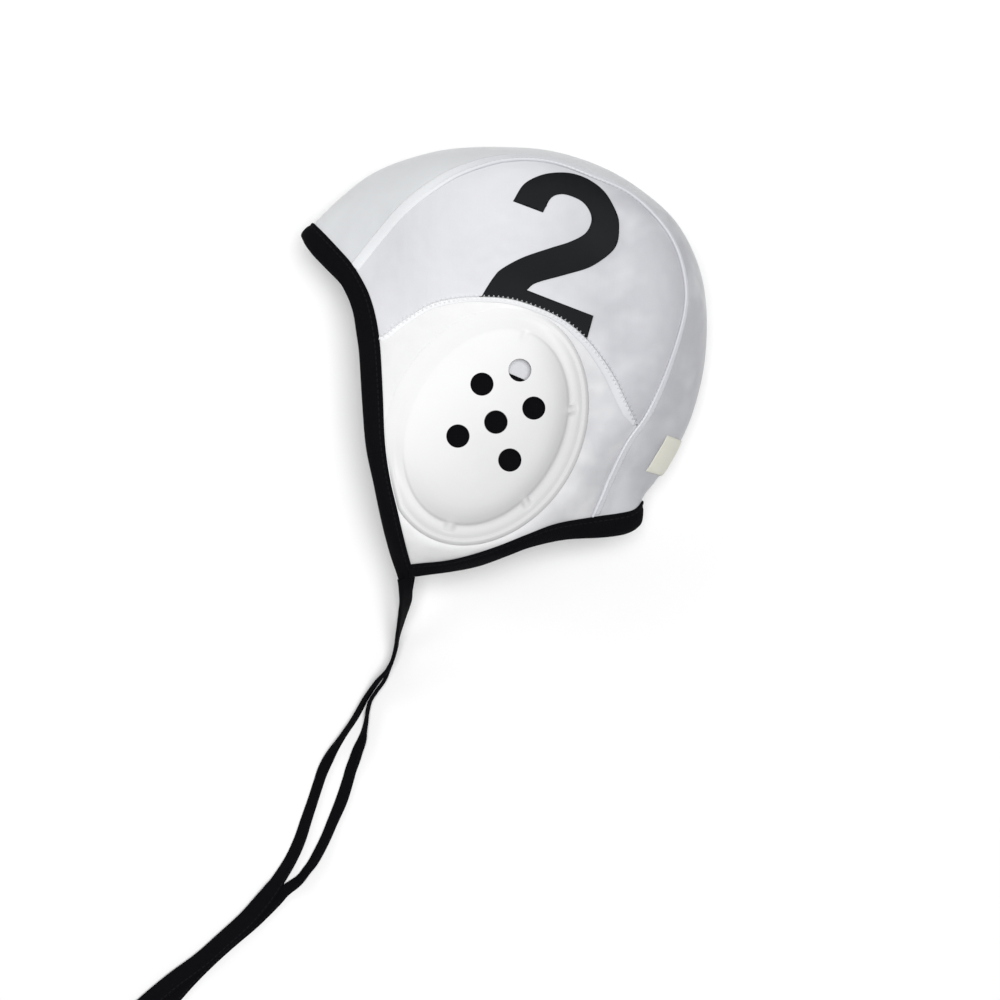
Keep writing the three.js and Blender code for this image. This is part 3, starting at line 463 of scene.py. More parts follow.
outline_rows = np.vstack([crown[:, [0, 1, 4, 5]], closing])
traced = between(outline_rows, np.arange(len(outline_rows) * 40) / 40, closed=True)
traced_angle, traced_reach = bearing(traced[:, :2] * cap_size - ear)
order = np.argsort(traced_angle)
outline_angle, outline_reach = traced_angle[order], traced_reach[order]
outline_full, outline_square = traced[order, 2], traced[order, 3]


def outline_at(angle, values):
    return np.interp(angle, outline_angle, values, period=2 * math.pi)


def dome_radius(angle):
    turned = angle - dome_tilt
    long, short = dome_length / 2, dome_width / 2
    return long * short / np.hypot(short * np.cos(turned), long * np.sin(turned))


def ease(value):
    value = np.clip(value, 0, 1)
    return value * value * (3 - 2 * value)


def mix(a, b, t):
    return a + (b - a) * t


def side_height(x, y, side):
    """Height of the cloth's outer face over the middle plane, flattened below on the table."""
    across, up = x - ear[0], y - ear[1]
    angle, distance = np.arctan2(up, across), np.hypot(across, up)
    reach = outline_at(angle, outline_reach)
    share = np.minimum(distance / reach, 1)
    full = outline_at(angle, outline_full) * belly_height
    full = full * np.sqrt(1 - share ** outline_at(angle, outline_square))
    rim = dome_radius(angle) + rim_width
    height = mix(seat_height, full, ease(shoulder * (distance - rim) / (reach - rim)))
    start = middle_z - floor_room - floor_bend
    over = np.clip(height - start, 0, 2 * floor_bend)
    resting = np.minimum(height, start) + over - over**2 / (4 * floor_bend)
    return np.where(side > 0, height, resting)


def cloth_point(spots, side, offset=0.0):
    """Points on the cloth seen from the side, moved off it along its normal."""
    step = 0.0004
    x, y = spots[:, 0], spots[:, 1]
    points = np.stack([x, y, middle_z + side * side_height(x, y, side)], 1)
    if np.any(offset):
        slope_x = (side_height(x + step, y, side) - side_height(x - step, y, side)) / (2 * step)
        slope_y = (side_height(x, y + step, side) - side_height(x, y - step, side)) / (2 * step)
        normal = unit(np.stack([-slope_x, -slope_y, side * np.ones_like(x)], 1))
        points = points + normal * np.reshape(offset, (-1, 1))
    return points + cap_shift


def crown_point(place, across):
    """Points on the centre panel, from its right edge -1 over the crown line 0 to its left edge 1."""
    rows = between(crown, place)
    angle, _ = bearing(rows[:, :2] * cap_size - ear)
    crease = polar(angle, outline_at(angle, outline_reach))
    spots = mix(crease, rows[:, 2:4] * cap_size, np.abs(np.reshape(across, (-1, 1))) ** 1.5)
    return cloth_point(spots, np.where(across < 0, -1.0, 1.0))


def off_crown(place, across, offset):
    """Points moved off the centre panel along its normal, away from the cap's inside."""
    step, beside = 0.05, 0.02
    at = np.clip(place, step, crown_last - step)
    along = crown_point(at + step, across) - crown_point(at - step, across)
    normal = unit(np.cross(along, crown_point(at, across + beside) - crown_point(at, across - beside)))
    facing = np.sum(normal * (crown_point(at, across) - cap_centre), axis=1)
    normal = normal * np.where(facing < 0, -1, 1)[:, None]
    return crown_point(place, across) + normal * np.reshape(offset, (-1, 1))


def painted_shade_along(tree, where, start, end, fall=0.0):
    """A painted shade mask that rises from the face opening towards the back of the cap, or down towards it.
    """
    spot = tree.nodes.new("ShaderNodeSeparateXYZ")
    tree.links.new(where, spot.inputs[0])
    way = calc(tree, "MULTIPLY_ADD", spot.outputs["Y"], -fall, spot.outputs["X"])
    rise = tree.nodes.new("ShaderNodeMapRange")
    rise.interpolation_type = "SMOOTHSTEP"
    rise.inputs["From Min"].default_value = start
    rise.inputs["From Max"].default_value = end
    tree.links.new(way, rise.inputs["Value"])
    return rise.outputs[0]


def panel_cloth(name, light, dark, warm, start, end, ripple):
    made, tree, shader = finish(name, 0.55, 0.35, 0.25)
    cut, where = cut_and_place(tree)
    loops = place_group(tree, knit, cut, Columns=2200, Rows=1700)[0]
    cast = place_group(tree, patches, where, Scale=22)
    folds = place_group(tree, patches, where, Scale=48)["Soft"]
    # The knit darkens towards the back of the cap: painted shade.
    shade_gradient = painted_shade_along(tree, where, start, end)
    shade = calc(tree, "MULTIPLY_ADD", shade_gradient, 0.9, -0.2)
    shade = calc(tree, "MULTIPLY_ADD", cast["Soft"], 0.6, shade)
    # Soft folds at the back are painted lighter and darker: painted reflections and shade of the folds.
    painted_fold_shade = calc(tree, "MULTIPLY", calc(tree, "SUBTRACT", folds, 0.5), shade_gradient)
    shade = calc(tree, "MULTIPLY_ADD", painted_fold_shade, 2.2, shade)
    base = blend_colours(tree, shade, light, dark)
    base = blend_colours(tree, cast["Fine"], base, warm, 0.2)
    # The gaps between the loops are painted darker: painted shade in the knit's hollows.
    gaps = calc(tree, "SUBTRACT", 1.0, loops)
    base = blend_colours(tree, gaps, base, tuple(0.55 * c for c in dark), 0.12)
    colour_and_gloss(tree, shader, base, cast["Fine"], 0.45, 0.65)
    raise_surface(tree, shader, folds, 1.0, ripple)
    raise_surface(tree, shader, loops, 0.35, 0.00008)
    return made


def evaluated_mesh(piece):
    return bpy.data.meshes.new_from_object(piece.evaluated_get(bpy.context.evaluated_depsgraph_get()))


def apply_modifiers(piece):
    old, data = piece.data, evaluated_mesh(piece)
    piece.modifiers.clear()
    piece.data = data
    data.name = piece.name
    bpy.data.meshes.remove(old)


def link_sheet(mesh, name, look, wall):
    """Turns a sheet's faces away from the cap's inside, and thickens it from them inwards."""
    centre = Vector(cap_centre)
    mesh.normal_update()
    facing = sum((f.normal.dot(f.calc_center_median() - centre)) * f.calc_area() for f in mesh.faces)
    if facing < 0:
        bmesh.ops.reverse_faces(mesh, faces=mesh.faces)
    piece = link_mesh(mesh, name, look)
    solid = piece.modifiers.new("wall", "SOLIDIFY")
    solid.thickness = wall
    solid.offset = -1
    solid.use_even_offset = False
    apply_modifiers(piece)
    return piece


# The centre panel has the side panels' knit in darker colours: painted shade, as it slopes away from the
# light.
centre_knit = panel_cloth(
    "centre_knit", (0.672, 0.692, 0.708), (0.445, 0.45, 0.482), (0.65, 0.65, 0.65), 0.02, 0.095, 0.0018
)
centre_width = 0.13
centre_share = 0.9975
crown_start, crown_end = cloth_edge, crown_last - cloth_edge
crown_stations = np.linspace(crown_start, crown_end, 300)
crown_arc = arc_lengths(crown_point(crown_stations, 1e-6))


def centre_place(u, v):
    return crown_point(mix(crown_start, crown_end, u), centre_share * (2 * v - 1))


def centre_cut(u, v):
    along = np.interp(mix(crown_start, crown_end, u), crown_stations, crown_arc)
    return np.stack([along, (v - 0.5) * centre_width], 1)


mesh = woven_grid(300, 96, centre_place, centre_cut)
centre_panel = link_sheet(mesh, "centre_panel_cloth", centre_knit, cloth_wall)
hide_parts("centre_panel")


# SIDE PANELS
# One crescent of the same knit on each side, between the long seam and the ear seam.
# Columns: x, y of the seam between side panel and ear panel, from the face edge to the long seam.
ear_seam = np.array([
    (-343, 42), (-325, 49), (-290, 58), (-251, 86), (-181, 126), (-116, 141), (-59, 144), (13, 139),
    (84, 118), (147, 88), (199, 45), (235, 2), (264, -41), (289, -90), (317, -144),
]) / 1000
ear_seam_end = 14.42
face_row_long_seam = 3.35
face_row_ear_seam = 6.62
crescent_stop = 0.999
joint_gap = 0.0015
sides = (("left", 1.0), ("right", -1.0))


def plan(rows, place, share=None):
    """Points in metres on a table's line, or between its outer and inner lines."""
    found = between(rows, place)
    if share is None:
        return found[:, :2] * cap_size
    return mix(found[:, :2], found[:, 2:4], np.reshape(share, (-1, 1))) * cap_size


def long_seam_spot(place):
    return between(crown, place)[:, 2:4] * cap_size


def crescent_point(u, v):
    lower, upper = plan(ear_seam, u * (len(ear_seam) - 1)), long_seam_spot(u * ear_seam_end)
    start_lower, start_upper = plan(ear_seam, 0 * u), long_seam_spot(0 * u)
    on_edge = plan(face_edge, mix(face_row_ear_seam, face_row_long_seam, v), cloth_edge)
    fade = ((1 - np.minimum(1, u * 6)) ** 2)[:, None]
    v = v[:, None]
    return mix(lower, upper, v) + fade * (on_edge - mix(start_lower, start_upper, v))


def side_cut(u, v):
    return crescent_point(u * crescent_stop, v)


silver_knit = panel_cloth(
    "silver_knit", (0.70, 0.705, 0.735), (0.485, 0.49, 0.523), (0.675, 0.675, 0.67), -0.005, 0.07, 0.0016
)
for name, side in sides:

    def side_place(u, v):
        return cloth_point(side_cut(u, mix(joint_gap, 1 - joint_gap, v)), side)

    mesh = woven_grid(230, 64, side_place, side_cut)
    panel = link_sheet(mesh, name + "_side_panel_cloth", silver_knit, cloth_wall)
    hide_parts(name + "_side_panel")


# EAR PANELS
# A whiter, thicker knit round each ear, with an oval opening that the guard covers. It ends at
# the ear seam above and inside the bindings in front and below.
def reach_to(points, angle):
    """Distance from the ear to the first crossing of a line of points, at each angle."""
    nearest = np.full(len(angle), np.inf)
    c, s = np.cos(angle), np.sin(angle)
    spots = points - ear
    for (ax, ay), (bx, by) in zip(spots[:-1], spots[1:]):
        side_a, side_b = ay * c - ax * s, by * c - bx * s
        crossed = (side_a * side_b <= 0) & (side_a != side_b)
        t = side_a / np.where(crossed, side_a - side_b, 1)
        distance = mix(ax, bx, t) * c + mix(ay, by, t) * s
        nearest = np.where(crossed & (distance > 0), np.minimum(nearest, distance), nearest)
    return nearest


face_track = np.linspace(0, len(face_edge) - 1, 105)
neck_track = np.linspace(0, len(neck_edge) - 1, 73)
inner_edges = np.vstack([plan(face_edge, face_track, 1), plan(neck_edge, neck_track, 1)])
all_angles = np.linspace(-math.pi, math.pi, 721)
opening_lap = 0.003
rim_table = np.minimum(dome_radius(all_angles) + rim_width, reach_to(inner_edges, all_angles) - 0.0006)


def rim_radius(angle):
    return np.interp(angle, all_angles, rim_table, period=2 * math.pi)


ear_border = np.vstack([
    crescent_point(np.linspace(0, 1, 121), np.zeros(121)),
    long_seam_spot(np.linspace(ear_seam_end, crown_last - cloth_edge, 21)),
    plan(neck_edge, neck_track[::-1], cloth_edge),
    plan(face_edge, np.linspace(len(face_edge) - 1, face_row_ear_seam, 60), cloth_edge),
])
ear_border = np.vstack([ear_border, ear_border[:1]])
border_table = reach_to(ear_border, all_angles) - 0.0002


def ear_spot(u, v):
    angle = (2 * u - 1) * math.pi
    opening = np.minimum(dome_radius(angle) + opening_lap, rim_radius(angle) - opening_lap)
    return polar(angle, mix(opening, np.interp(angle, all_angles, border_table), v))


white_knit = panel_cloth(
    "white_knit", (0.815, 0.815, 0.82), (0.54, 0.545, 0.57), (0.80, 0.795, 0.78), 0.0, 0.045, 0.0022
)
for name, side in sides:
    mesh = woven_grid(360, 26, lambda u, v: cloth_point(ear_spot(u, v), side), ear_spot)
    bmesh.ops.remove_doubles(mesh, verts=mesh.verts, dist=1e-6)
    panel = link_sheet(mesh, name + "_ear_panel_cloth", white_knit, cloth_wall)
    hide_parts(name + "_ear_panel")


# LONG SEAMS
# A flat white tape over the joint of centre and side panel, wide at the brow and drawn narrower
# over the crown, where the joint stands up as a thin ridge along the tape's side panel edge.
def white_tape(name, light, dark, stitches, start, end):
    made, tree, shader = finish(name, 0.6, 0.3, 0.2)
    cut, where = cut_and_place(tree)
    relief = place_group(tree, knit, cut, Columns=1800, Rows=1400)[0]
    cast = place_group(tree, patches, where, Scale=40)
    # The tape darkens towards the back of the cap: painted shade.
    shade = calc(tree, "MULTIPLY_ADD", cast["Soft"], 0.4, painted_shade_along(tree, where, start, end))
    base = blend_colours(tree, calc(tree, "ADD", shade, -0.2), light, dark)
    for across in stitches:
        thread = place_group(tree, sewing, cut, Across=across, Pitch=0.0021, Thread=0.00025)[0]
        relief = calc(tree, "MULTIPLY_ADD", thread, 2.0, relief)
        base = blend_colours(tree, thread, base, (0.84, 0.84, 0.84), 0.5)
    colour_and_gloss(tree, shader, base, cast["Fine"], 0.5, 0.7)
    raise_surface(tree, shader, relief, 0.4, 0.00012)
    return made


seam_width = 0.005
seam_lift = 0.0012
seam_wall = 0.0005
seam_inset = 0.98
# Columns: place across the tape, and height over the cloth in shares of seam_lift at the brow and
# beyond the crown.
seam_profile = np.array([
    (0, 0.06, 0.04), (0.08, 0.2, 0.14), (0.2, 0.36, 0.3), (0.5, 0.48, 0.42), (0.68, 0.46, 0.55),
    (0.78, 0.4, 1.05), (0.88, 0.28, 1.1), (0.95, 0.16, 0.7), (1, 0.06, 0.05),
])
seam_tape = white_tape(
    "seam_tape", (0.745, 0.76, 0.78), (0.62, 0.63, 0.665), (-0.0018, 0.0018), -0.04, 0.01
)
seam_stations = np.linspace(seam_inset, crown_last - seam_inset, 300)
seam_arc = arc_lengths(crown_point(seam_stations, 1.0))


def seam_row(u):
    return mix(seam_inset, crown_last - seam_inset, u)


def seam_half(place):
    wide = [0.95, 1.1, 1.3, 1.15, 0.75, 0.6, 0.58, 0.75, 1.0, 1.0]
    return seam_width / 2 * np.interp(place / crown_last * 9, np.arange(10), wide)


for name, side in sides:

    def band_place(u, v):
        place = seam_row(u)
        beside = crown_point(place, side * 0.99)
        stretch = np.linalg.norm(crown_point(place, side) - beside, axis=1) / 0.01
        across = side * (1 + (2 * v - 1) * seam_half(place) / stretch)
        front, back = (np.interp(v, seam_profile[:, 0], seam_profile[:, k]) for k in (1, 2))
        return off_crown(place, across, seam_lift * mix(front, back, ease((place - 3) / 3)))

    def band_cut(u, v):
        along = np.interp(seam_row(u), seam_stations, seam_arc)
        return np.stack([along, (2 * v - 1) * seam_half(seam_row(u))], 1)

    mesh = woven_grid(420, 18, band_place, band_cut)
    band = link_sheet(mesh, name + "_long_seam_tape", seam_tape, seam_wall)
    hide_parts(name + "_long_seam")


# EAR SEAMS
# The ear panel's edge is lapped over the side panel and sewn down with a zigzag of white thread,
# which crosses the lap's edge and shows against the number.
ear_seam_width = 0.0024
ear_seam_lift = 0.0009
ear_seam_lap = 0.0003
ear_seam_start, ear_seam_stop = 1.72, len(ear_seam) - 1 - 0.02
ear_seam_tape = white_tape("ear_seam_tape", (0.815, 0.82, 0.83), (0.63, 0.64, 0.665), (), 0.0, 0.05)
zigzag_pitch = 0.0021
zigzag_half = 0.0011
thread_radius = 0.0002


def ear_seam_spot(place, beside):
    point = plan(ear_seam, place)
    along = unit(plan(ear_seam, place + 0.1) - point)
    return point + np.stack([-along[:, 1], along[:, 0]], 1) * np.reshape(beside, (-1, 1))


def lap_wide(u):
    return np.interp(u, [0, 0.55, 0.72, 0.88, 0.96, 1], [1, 1, 1.5, 1.9, 1.7, 0.8])


def curve_mesh(points, thread=0.0):
    """A thread of that radius along the points, or else the flat face that they run round."""
    curve = bpy.data.curves.new("line", "CURVE")
    if thread:
        curve.dimensions = "3D"
        curve.bevel_depth = thread
        curve.bevel_resolution = 1
        curve.use_fill_caps = True
    else:
        curve.dimensions = "2D"
        curve.fill_mode = "BOTH"
    line = curve.splines.new("POLY")
    line.points.add(len(points) - 1)
    line.points.foreach_set("co", np.hstack([points, np.ones((len(points), 1))]).ravel())
    line.use_cyclic_u = not thread
    drawn = bpy.data.objects.new("line", curve)
    scene.collection.objects.link(drawn)
    mesh = bmesh.new()
    mesh.from_mesh(evaluated_mesh(drawn))
    bpy.data.objects.remove(drawn)
    return mesh


ear_seam_stations = np.linspace(ear_seam_start, ear_seam_stop, 400)
ear_seam_arc = arc_lengths(plan(ear_seam, ear_seam_stations))
for name, side in sides:

    def lap_place(u, v):
        place = mix(ear_seam_start, ear_seam_stop, u)
        spots = ear_seam_spot(place, (v - 1) * ear_seam_width * lap_wide(u) + ear_seam_lap)
        lift = ear_seam_lift * np.interp(v, [0, 0.3, 0.75, 0.92, 1], [0.05, 0.6, 1.0, 0.9, 0.1])
        lift = lift * np.interp(u, [0, 0.28, 0.4, 0.8, 1], [0.35, 0.4, 1, 0.8, 0.4])
        return cloth_point(spots, side, lift)

    def lap_cut(u, v):
        place = mix(ear_seam_start, ear_seam_stop, u)
        return np.stack([np.interp(place, ear_seam_stations, ear_seam_arc), (v - 1) * ear_seam_width], 1)

    mesh = woven_grid(300, 12, lap_place, lap_cut)
    lap = link_sheet(mesh, name + "_ear_seam_lap", ear_seam_tape, seam_wall)
    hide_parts(name + "_ear_seam")

    turns = int(ear_seam_arc[-1] / zigzag_pitch) * 2
    place = np.interp(np.linspace(0, ear_seam_arc[-1], turns), ear_seam_arc, ear_seam_stations)
    over = np.arange(turns) % 2
    spots = ear_seam_spot(place, np.where(over, zigzag_half, -zigzag_half))
    mesh = curve_mesh(cloth_point(spots, side, np.where(over, 0.0009, 0.0011)), thread_radius)
    link_mesh(mesh, name + "_ear_seam_thread", ear_seam_tape)


# EAR GUARDS
# One moulding of soft white plastic on each side: a rounded rim sewn to the cloth, a groove, and
# a raised dome with a nearly flat face and six holes. The groove is deep behind and below the ear,
# where three small tabs bridge it, and runs out in a soft slope in front of it.
guard_rise = 0.0065
guard_wall = 0.0019
guard_under = 0.0003
# Columns: place from centre 0 to dome edge 1 to rim edge 2, and height in mm over the seat, first
# where the groove is deep and then where it has run out.
guard_profile = np.array([
    (0.0, 6.5, 6.5), (0.4, 6.45, 6.35), (0.6, 6.25, 6.0), (0.74, 5.75, 5.6), (0.84, 5.0, 5.2),
    (0.91, 4.05, 4.85), (0.96, 3.05, 4.6), (1.0, 2.0, 4.35), (1.04, 1.25, 4.2), (1.1, 0.75, 3.95),
    (1.22, 0.65, 3.5), (1.36, 0.85, 2.95), (1.5, 1.45, 2.4), (1.6, 2.25, 2.05), (1.69, 2.9, 1.72),
    (1.75, 2.75, 1.5), (1.81, 2.95, 1.28), (1.88, 2.6, 1.03), (1.96, 1.7, 0.74), (2.0, 0.8, 0.6),
])
# The groove is deep for groove_half degrees to both sides of groove_middle, and then runs out.
groove_middle, groove_half, groove_fade = -46, 78, 45
tab_angles, tab_half, tab_height = (11, -62, -110), 2.6, 0.6
nick_angle, nick_half, nick_depth = 67, 1.5, 0.9
hole_radius = 0.0052
hole_pitch = 0.0183
hole_tilt = math.radians(20.2)
hole_shift = np.array([0.25, 0.108])
# The section of the drill that cuts a hole: out from its middle, and up from the guard's face.
hole_section = [
    (0, -0.004), (hole_radius, -0.004), (hole_radius, -0.0005), (hole_radius + 0.0001, -0.0002),
    (hole_radius + 0.0002, 0.0), (hole_radius + 0.0002, 0.002), (0, 0.002),
]


def guard_plastic_look():
    made, tree, shader = finish("guard_plastic", 0.5, 0.2)
    where = tree.nodes.new("ShaderNodeTexCoord").outputs["Object"]
    cast = place_group(tree, patches, where, Scale=30)
    grain = place_group(tree, patches, where, Scale=420)
    groove = tree.nodes.new("ShaderNodeAttribute")
    groove.attribute_name = "groove"
    # The plastic darkens from the upper left towards the lower right: painted shade.
    shade = calc(tree, "MULTIPLY_ADD", cast["Soft"], 0.3, painted_shade_along(tree, where, -0.03, 0.07, 1.0))
    base = blend_colours(tree, calc(tree, "ADD", shade, -0.15), (0.81, 0.81, 0.815), (0.62, 0.62, 0.625))
    # Painted shade in the deep groove darkens the foot of the dome.
    base = blend_colours(tree, groove.outputs["Fac"], base, (0.47, 0.47, 0.475), 0.5)
    colour_and_gloss(tree, shader, base, cast["Fine"], 0.45, 0.6)
    raise_surface(tree, shader, grain["Fine"], 0.12, 0.0001)
    return made


def turned_from(angle, degrees):
    return np.abs((np.degrees(angle) - degrees + 180) % 360 - 180)


def guard_height(angle, share):
    """Height of the guard's upper face over its seat."""
    run_out = ease((turned_from(angle, groove_middle) - groove_half) / groove_fade)
    for tab in tab_angles:
        beside, along = turned_from(angle, tab) / tab_half, (share - 1.25) / 0.25
        run_out = np.maximum(run_out, tab_height * np.exp(-(beside**4) - along**4))
    row = np.interp(share, guard_profile[:, 0], np.arange(len(guard_profile)))
    deep, soft = (between(guard_profile[:, k:k + 1], row)[:, 0] for k in (1, 2))
    beside, along = turned_from(angle, nick_angle) / nick_half, (share - 1.0) / 0.08
    return (mix(deep, soft, run_out) - nick_depth * np.exp(-(beside**2) - along**2)) / 1000


def groove_painted_shade(angle, share):
    """How much painted shade darkens the guard, most at the foot of the dome where the groove is deep."""
    foot = np.exp(-(((share - 1.04) / 0.17) ** 2))
    return foot * (1 - ease((turned_from(angle, -40) - 50) / 60))


def lathe(mesh, line, steps, centre=(0, 0, 0)):
    """Turns a line of points once round the upright axis through the centre."""
    verts = [mesh.verts.new(point) for point in line]
    edges = [mesh.edges.new(pair) for pair in zip(verts[:-1], verts[1:])]
    bmesh.ops.spin(
        mesh, geom=verts + edges, cent=centre, axis=(0, 0, 1), angle=2 * math.pi, steps=steps,
        use_merge=True,
    )
    bmesh.ops.remove_doubles(mesh, verts=mesh.verts, dist=1e-5)


def over_seat(angle, radius, height, side):
    """Points at a height over the cloth's flat seat round the ear."""
    z = middle_z + side * (seat_height + height)
    return np.hstack([polar(angle, radius), z[:, None]]) + cap_shift


def hole_centre(i, j):
    c, s = math.cos(hole_tilt), math.sin(hole_tilt)
    steps = hole_shift + [i * c - j * s, i * s + j * c]
    return ear + hole_pitch * steps + cap_shift[:2]


guard_plastic = guard_plastic_look()
for name, side in sides:
    shares = np.concatenate([np.linspace(0, 0.6, 8)[:-1], np.linspace(0.6, 2.0, 64)])
    mesh = bmesh.new()
    lathe(mesh, [(s, 0, 1) for s in shares] + [(s, 0, -1) for s in shares[::-1]], 300)
    place = places(mesh)
    angle, share = bearing(place)
    dome, rim = dome_radius(angle), rim_radius(angle)
    radius = np.where(share < 1, share * dome, mix(dome, rim, share - 1))
    top = guard_height(angle, share)
    hollow = np.clip(top - guard_wall, guard_under, None) * ease((1.06 - share) / 0.1)
    height = np.where(place[:, 2] > 0, top, np.maximum(guard_under, hollow))
    move_verts(mesh, over_seat(angle, radius, height, side))
    # The groove attribute holds painted shade for the guard's colour.
    dust_and_shade = mesh.verts.layers.float.new("groove")
    for vert, deep in zip(mesh.verts, groove_painted_shade(angle, share)):
        vert[dust_and_shade] = deep
    bmesh.ops.recalc_face_normals(mesh, faces=mesh.faces)
    guard = link_mesh(mesh, name + "_ear_guard_shell", guard_plastic)

    holes = bmesh.new()
    face_z = middle_z + side * (seat_height + guard_rise)
    for i, j in [(0, 0), (1, 0), (-1, 0), (0, 1), (0, -1), (1, 1)]:
        x, y = hole_centre(i, j)
        lathe(holes, [(x + out, y, face_z + side * up) for out, up in hole_section], 48, (x, y, face_z))
    bmesh.ops.recalc_face_normals(holes, faces=holes.faces)
    drill = link_object("drill", holes)
    cutter = guard.modifiers.new("holes", "BOOLEAN")
    cutter.operation = "DIFFERENCE"
    cutter.solver = "EXACT"
    cutter.object = drill
    apply_modifiers(guard)
    bpy.data.objects.remove(drill)
    shade_smooth(guard, 40)
    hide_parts(name + "_ear_guard")


# BINDINGS
# Black knitted tape folded over the raw edges of the cap and sewn through, one round the face
# and one round the neck. The face binding runs on into the ties.
binding_wall = 0.0009
# Columns: depth from the fold's edge 0 to the tape's edge 1, and offset in mm of the outer face
# from the cloth's outer face.
binding_section = np.array([
    (1.0, 0.25), (0.985, 0.75), (0.93, 1.12), (0.85, 1.05), (0.8, 0.9), (0.75, 1.05), (0.64, 1.4),
    (0.45, 1.55), (0.25, 1.5), (0.1, 1.15), (0.025, 0.45), (0.0, -0.6), (0.025, -1.6), (0.1, -2.2),
    (0.3, -2.4), (0.65, -2.4), (1.0, -2.3),
])


def binding_point(rows, fold, across, depth):
    last = len(rows) - 1
    place = np.abs(across) * last if fold == 0 else (1 - np.abs(across)) * last
    away = plan(rows, place, depth) - ear
    angle, distance = bearing(away)
    share = outline_at(angle, outline_reach) / distance
    onto = np.where(np.abs(across) < 1e-9, share, np.minimum(1, share))[:, None]
    return cloth_point(ear + away * onto, np.where(across < 0, -1.0, 1.0))


def soften(line, reach):
    """Rounds a line of evenly spaced points off over a few stations, and keeps its two ends."""
    weights = np.exp(-0.5 * (np.arange(-3 * reach, 3 * reach + 1) / reach) ** 2)
    weights /= weights.sum()
    longer = np.vstack([2 * line[0] - line[3 * reach:0:-1], line, 2 * line[-1] - line[-2:-3 * reach - 2:-1]])
    return np.stack([np.convolve(longer[:, k], weights, "valid") for k in range(line.shape[1])], 1)


def tape_frames(rows, fold, stations, run_on):
    """Even stations round an open edge: five lines over the cloth, edge to tape's edge, and normals."""
    spread = np.linspace(-1, 1, 4001)
    across = np.sign(spread) * np.abs(spread) ** 1.35 * (1 + run_on)
    lines = [binding_point(rows, fold, across, depth) for depth in np.linspace(0, 1, 5)]
    arc = arc_lengths((lines[0] + lines[-1]) / 2)
    even = np.linspace(0, arc[-1], stations)
    lines = [soften(np.stack([np.interp(even, arc, line[:, k]) for k in range(3)], 1), 2) for line in lines]
    along = np.gradient((lines[0] + lines[-1]) / 2, axis=0)
    normals = []
    for k in range(5):
        inward = lines[min(k + 1, 4)] - lines[max(k - 1, 0)]
        normal = unit(np.cross(along, inward))
        if normal[stations // 4 * 3][2] < 0:
            normal = -normal
        normals.append(unit(soften(normal, 4)))
    return even, np.stack(lines), np.stack(normals)


binding_tape = black_tape("binding_tape", 0.0)
for name, rows, fold, steps, run_on in (
    ("face_binding", face_edge, 0, 520, 0.018),
    ("neck_binding", neck_edge, 1, 400, 0.036),
):
    even, lines, normals = tape_frames(rows, fold, steps + 1, run_on)

    def section_at(v):
        return between(binding_section, v * (len(binding_section) - 1))

    def tape_place(u, v):
        at = np.rint(u * (len(even) - 1)).astype(int)
        found = section_at(v)
        first = np.clip(np.floor(found[:, 0] * 4).astype(int), 0, 3)
        t = (found[:, 0] * 4 - first)[:, None]
        on_cloth = mix(lines[first, at], lines[first + 1, at], t)
        return on_cloth + mix(normals[first, at], normals[first + 1, at], t) * found[:, 1:] / 1000

    def tape_cut(u, v):
        return np.stack([u * even[-1], (section_at(v)[:, 0] - 0.8) * binding_width], 1)

    mesh = woven_grid(steps, 48, tape_place, tape_cut)
    tape = link_sheet(mesh, name + "_tape", binding_tape, binding_wall)
    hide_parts(name)


# GUARD BACKINGS
# Behind the holes each dome holds a black knit sheet that ends in a straight edge short of the sixth
# hole: painted shade for the dark inside of the cap. From there on a silvery knit shows.
disc_share = 0.93
disc_wall = 0.0004
lining_depth = 0.003
shade_sheet_edge = 0.003
lining_lap = 0.002
across_edge = np.array([0.39, 0.92])


def slice_mesh(mesh, spot, normal, clear_outer=False, clear_inner=False):
    bmesh.ops.bisect_plane(
        mesh, geom=mesh.verts[:] + mesh.edges[:] + mesh.faces[:], dist=1e-6, plane_co=spot,
        plane_no=normal, clear_outer=clear_outer, clear_inner=clear_inner,
    )


for name, side in sides:
    for part, look, slot, beyond in (
        # The black backing is painted shade: a dark sheet behind the holes.
        ("painted_shade_backing", binding_tape, "binding_tape", False),
        ("lining", silver_knit, "panel_cloth", True),
    ):
        mesh = bmesh.new()
        lathe(mesh, [(share, 0, 0) for share in np.linspace(0, disc_share, 24)], 120)
        angle, share = bearing(places(mesh))
        height = 0.0008 + 0.0015 * (1 - share**2) - lining_depth * beyond
        move_verts(mesh, over_seat(angle, share * dome_radius(angle), height, side))
        edge = hole_centre(1, 1) - (shade_sheet_edge + lining_lap * beyond) * across_edge
        slice_mesh(mesh, (*edge, 0), (*across_edge, 0), not beyond, beyond)
        lay_flat(mesh, places(mesh)[:, :2])
        link_sheet(mesh, f"{name}_guard_{part}", look, disc_wall)


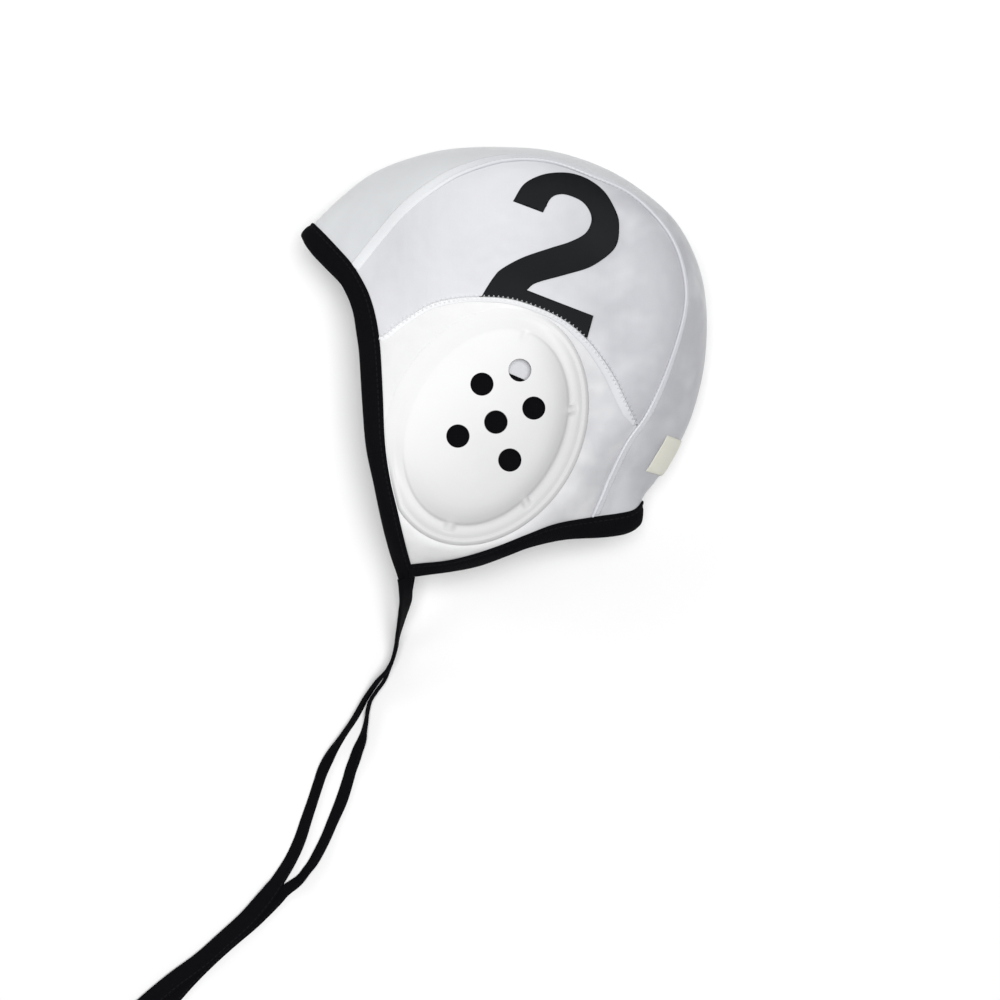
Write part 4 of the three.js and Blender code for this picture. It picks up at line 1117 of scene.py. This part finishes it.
# NUMBERS
# A player number in black, printed on each side panel with its foot on the ear seam. The ink
# is a thin skin that follows the cloth.
number_height = 0.0685
number_tilt = math.radians(-21.3)
print_lift = 0.00045
number_wall = 0.0003
number_gap = 0.0004
figure_width, figure_foot = 0.762, 0.181
figure_place = (-0.01159, 0.0273)
figure_outer = [
    (-0.026, 0.683), (0, 0.813), (0.077, 0.906), (0.174, 0.966), (0.282, 1), (0.403, 0.998), (0.525, 0.955),
    (0.644, 0.853), (0.69, 0.771), (0.714, 0.673), (0.69, 0.587), (0.603, 0.467), (0.472, 0.366),
    (0.312, 0.248), (0.269, 0.181),
]
figure_inner = [
    (0.013, 0.089), (0.034, 0.182), (0.064, 0.25), (0.166, 0.368), (0.311, 0.488), (0.42, 0.574),
    (0.493, 0.658), (0.504, 0.74), (0.473, 0.8), (0.406, 0.844), (0.324, 0.854), (0.251, 0.841),
    (0.2, 0.793), (0.184, 0.686),
]


def print_look():
    made, tree, shader = finish("number_print", 0.5, 0.04)
    where = tree.nodes.new("ShaderNodeTexCoord").outputs["Object"]
    loops = place_group(tree, knit, where, Columns=2200, Rows=1700)[0]
    cast = place_group(tree, patches, where, Scale=45)
    base = blend_colours(tree, cast["Soft"], (0.005, 0.0057, 0.007), (0.011, 0.0125, 0.0135))
    base = blend_colours(tree, cast["Fine"], base, (0.02, 0.022, 0.022), 0.35)
    colour_and_gloss(tree, shader, base, cast["Fine"], 0.42, 0.62)
    raise_surface(tree, shader, loops, 0.25, 0.00006)
    return made


number_print = print_look()
seam_line = ear_seam_spot(np.linspace(1, 13, 400), number_gap)
for name, side in sides:
    outer = between(figure_outer, np.linspace(0, len(figure_outer) - 1, 160))
    inner = between(figure_inner, np.linspace(0, len(figure_inner) - 1, 150))
    corners = np.array([(0.743, figure_foot), (figure_width, 0.0), (0.0, 0.0), figure_inner[0]])
    runs = [mix(corners[k], corners[k + 1], np.linspace(0, 1, 60)[:-1, None]) for k in range(3)]
    across, up = np.vstack([outer, *runs, inner]).T
    if side < 0:
        across = figure_width - across
    c, s = math.cos(number_tilt), math.sin(number_tilt)
    x = (across * c - up * s) * number_height + figure_place[0]
    y = (across * s + up * c) * number_height + figure_place[1]
    y = np.maximum(y, np.interp(x, seam_line[:, 0], seam_line[:, 1]))
    mesh = curve_mesh(np.stack([x, y, 0 * x], 1))
    bmesh.ops.remove_doubles(mesh, verts=mesh.verts, dist=1e-6)
    for normal in np.eye(3)[:2]:
        for cut in np.arange(-0.03, 0.1, 0.0015):
            slice_mesh(mesh, cut * normal, normal)
    move_verts(mesh, cloth_point(places(mesh), side, print_lift))
    ink = link_sheet(mesh, name + "_number_ink", number_print, number_wall)
    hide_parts(name + "_number")


# BACK LABEL
# A small bare tab of off-white woven cloth, sewn down across the crease above the nape.
label_start, label_end, label_reach = 14.42, 15.55, 0.52
label_wall = 0.0005
label_size = [0.02, 0.038]


def label_look():
    made, tree, shader = finish("label_cloth", 0.8, 0.25, 0.2)
    cut, where = cut_and_place(tree)
    loops = place_group(tree, knit, cut, Columns=1600, Rows=1600)[0]
    cast = place_group(tree, patches, where, Scale=80)
    base = blend_colours(tree, cast["Soft"], (0.73, 0.72, 0.63), (0.67, 0.66, 0.58))
    # The raised loops are painted lighter: a painted highlight.
    base = blend_colours(tree, loops, base, (0.79, 0.78, 0.72), 0.2)
    tree.links.new(base, shader.inputs["Base Color"])
    raise_surface(tree, shader, loops, 0.5, 0.00015)
    return made


def label_place(u, v):
    lift = 0.0006 + 0.0004 * np.minimum(1, 6 * np.minimum(u, 1 - u))
    return off_crown(mix(label_start, label_end, u), mix(-label_reach, label_reach, v), lift)


mesh = woven_grid(24, 60, label_place, lambda u, v: np.stack([u, v], 1) * label_size)
label = link_sheet(mesh, "back_label_cloth", label_look(), label_wall)
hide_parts("back_label")
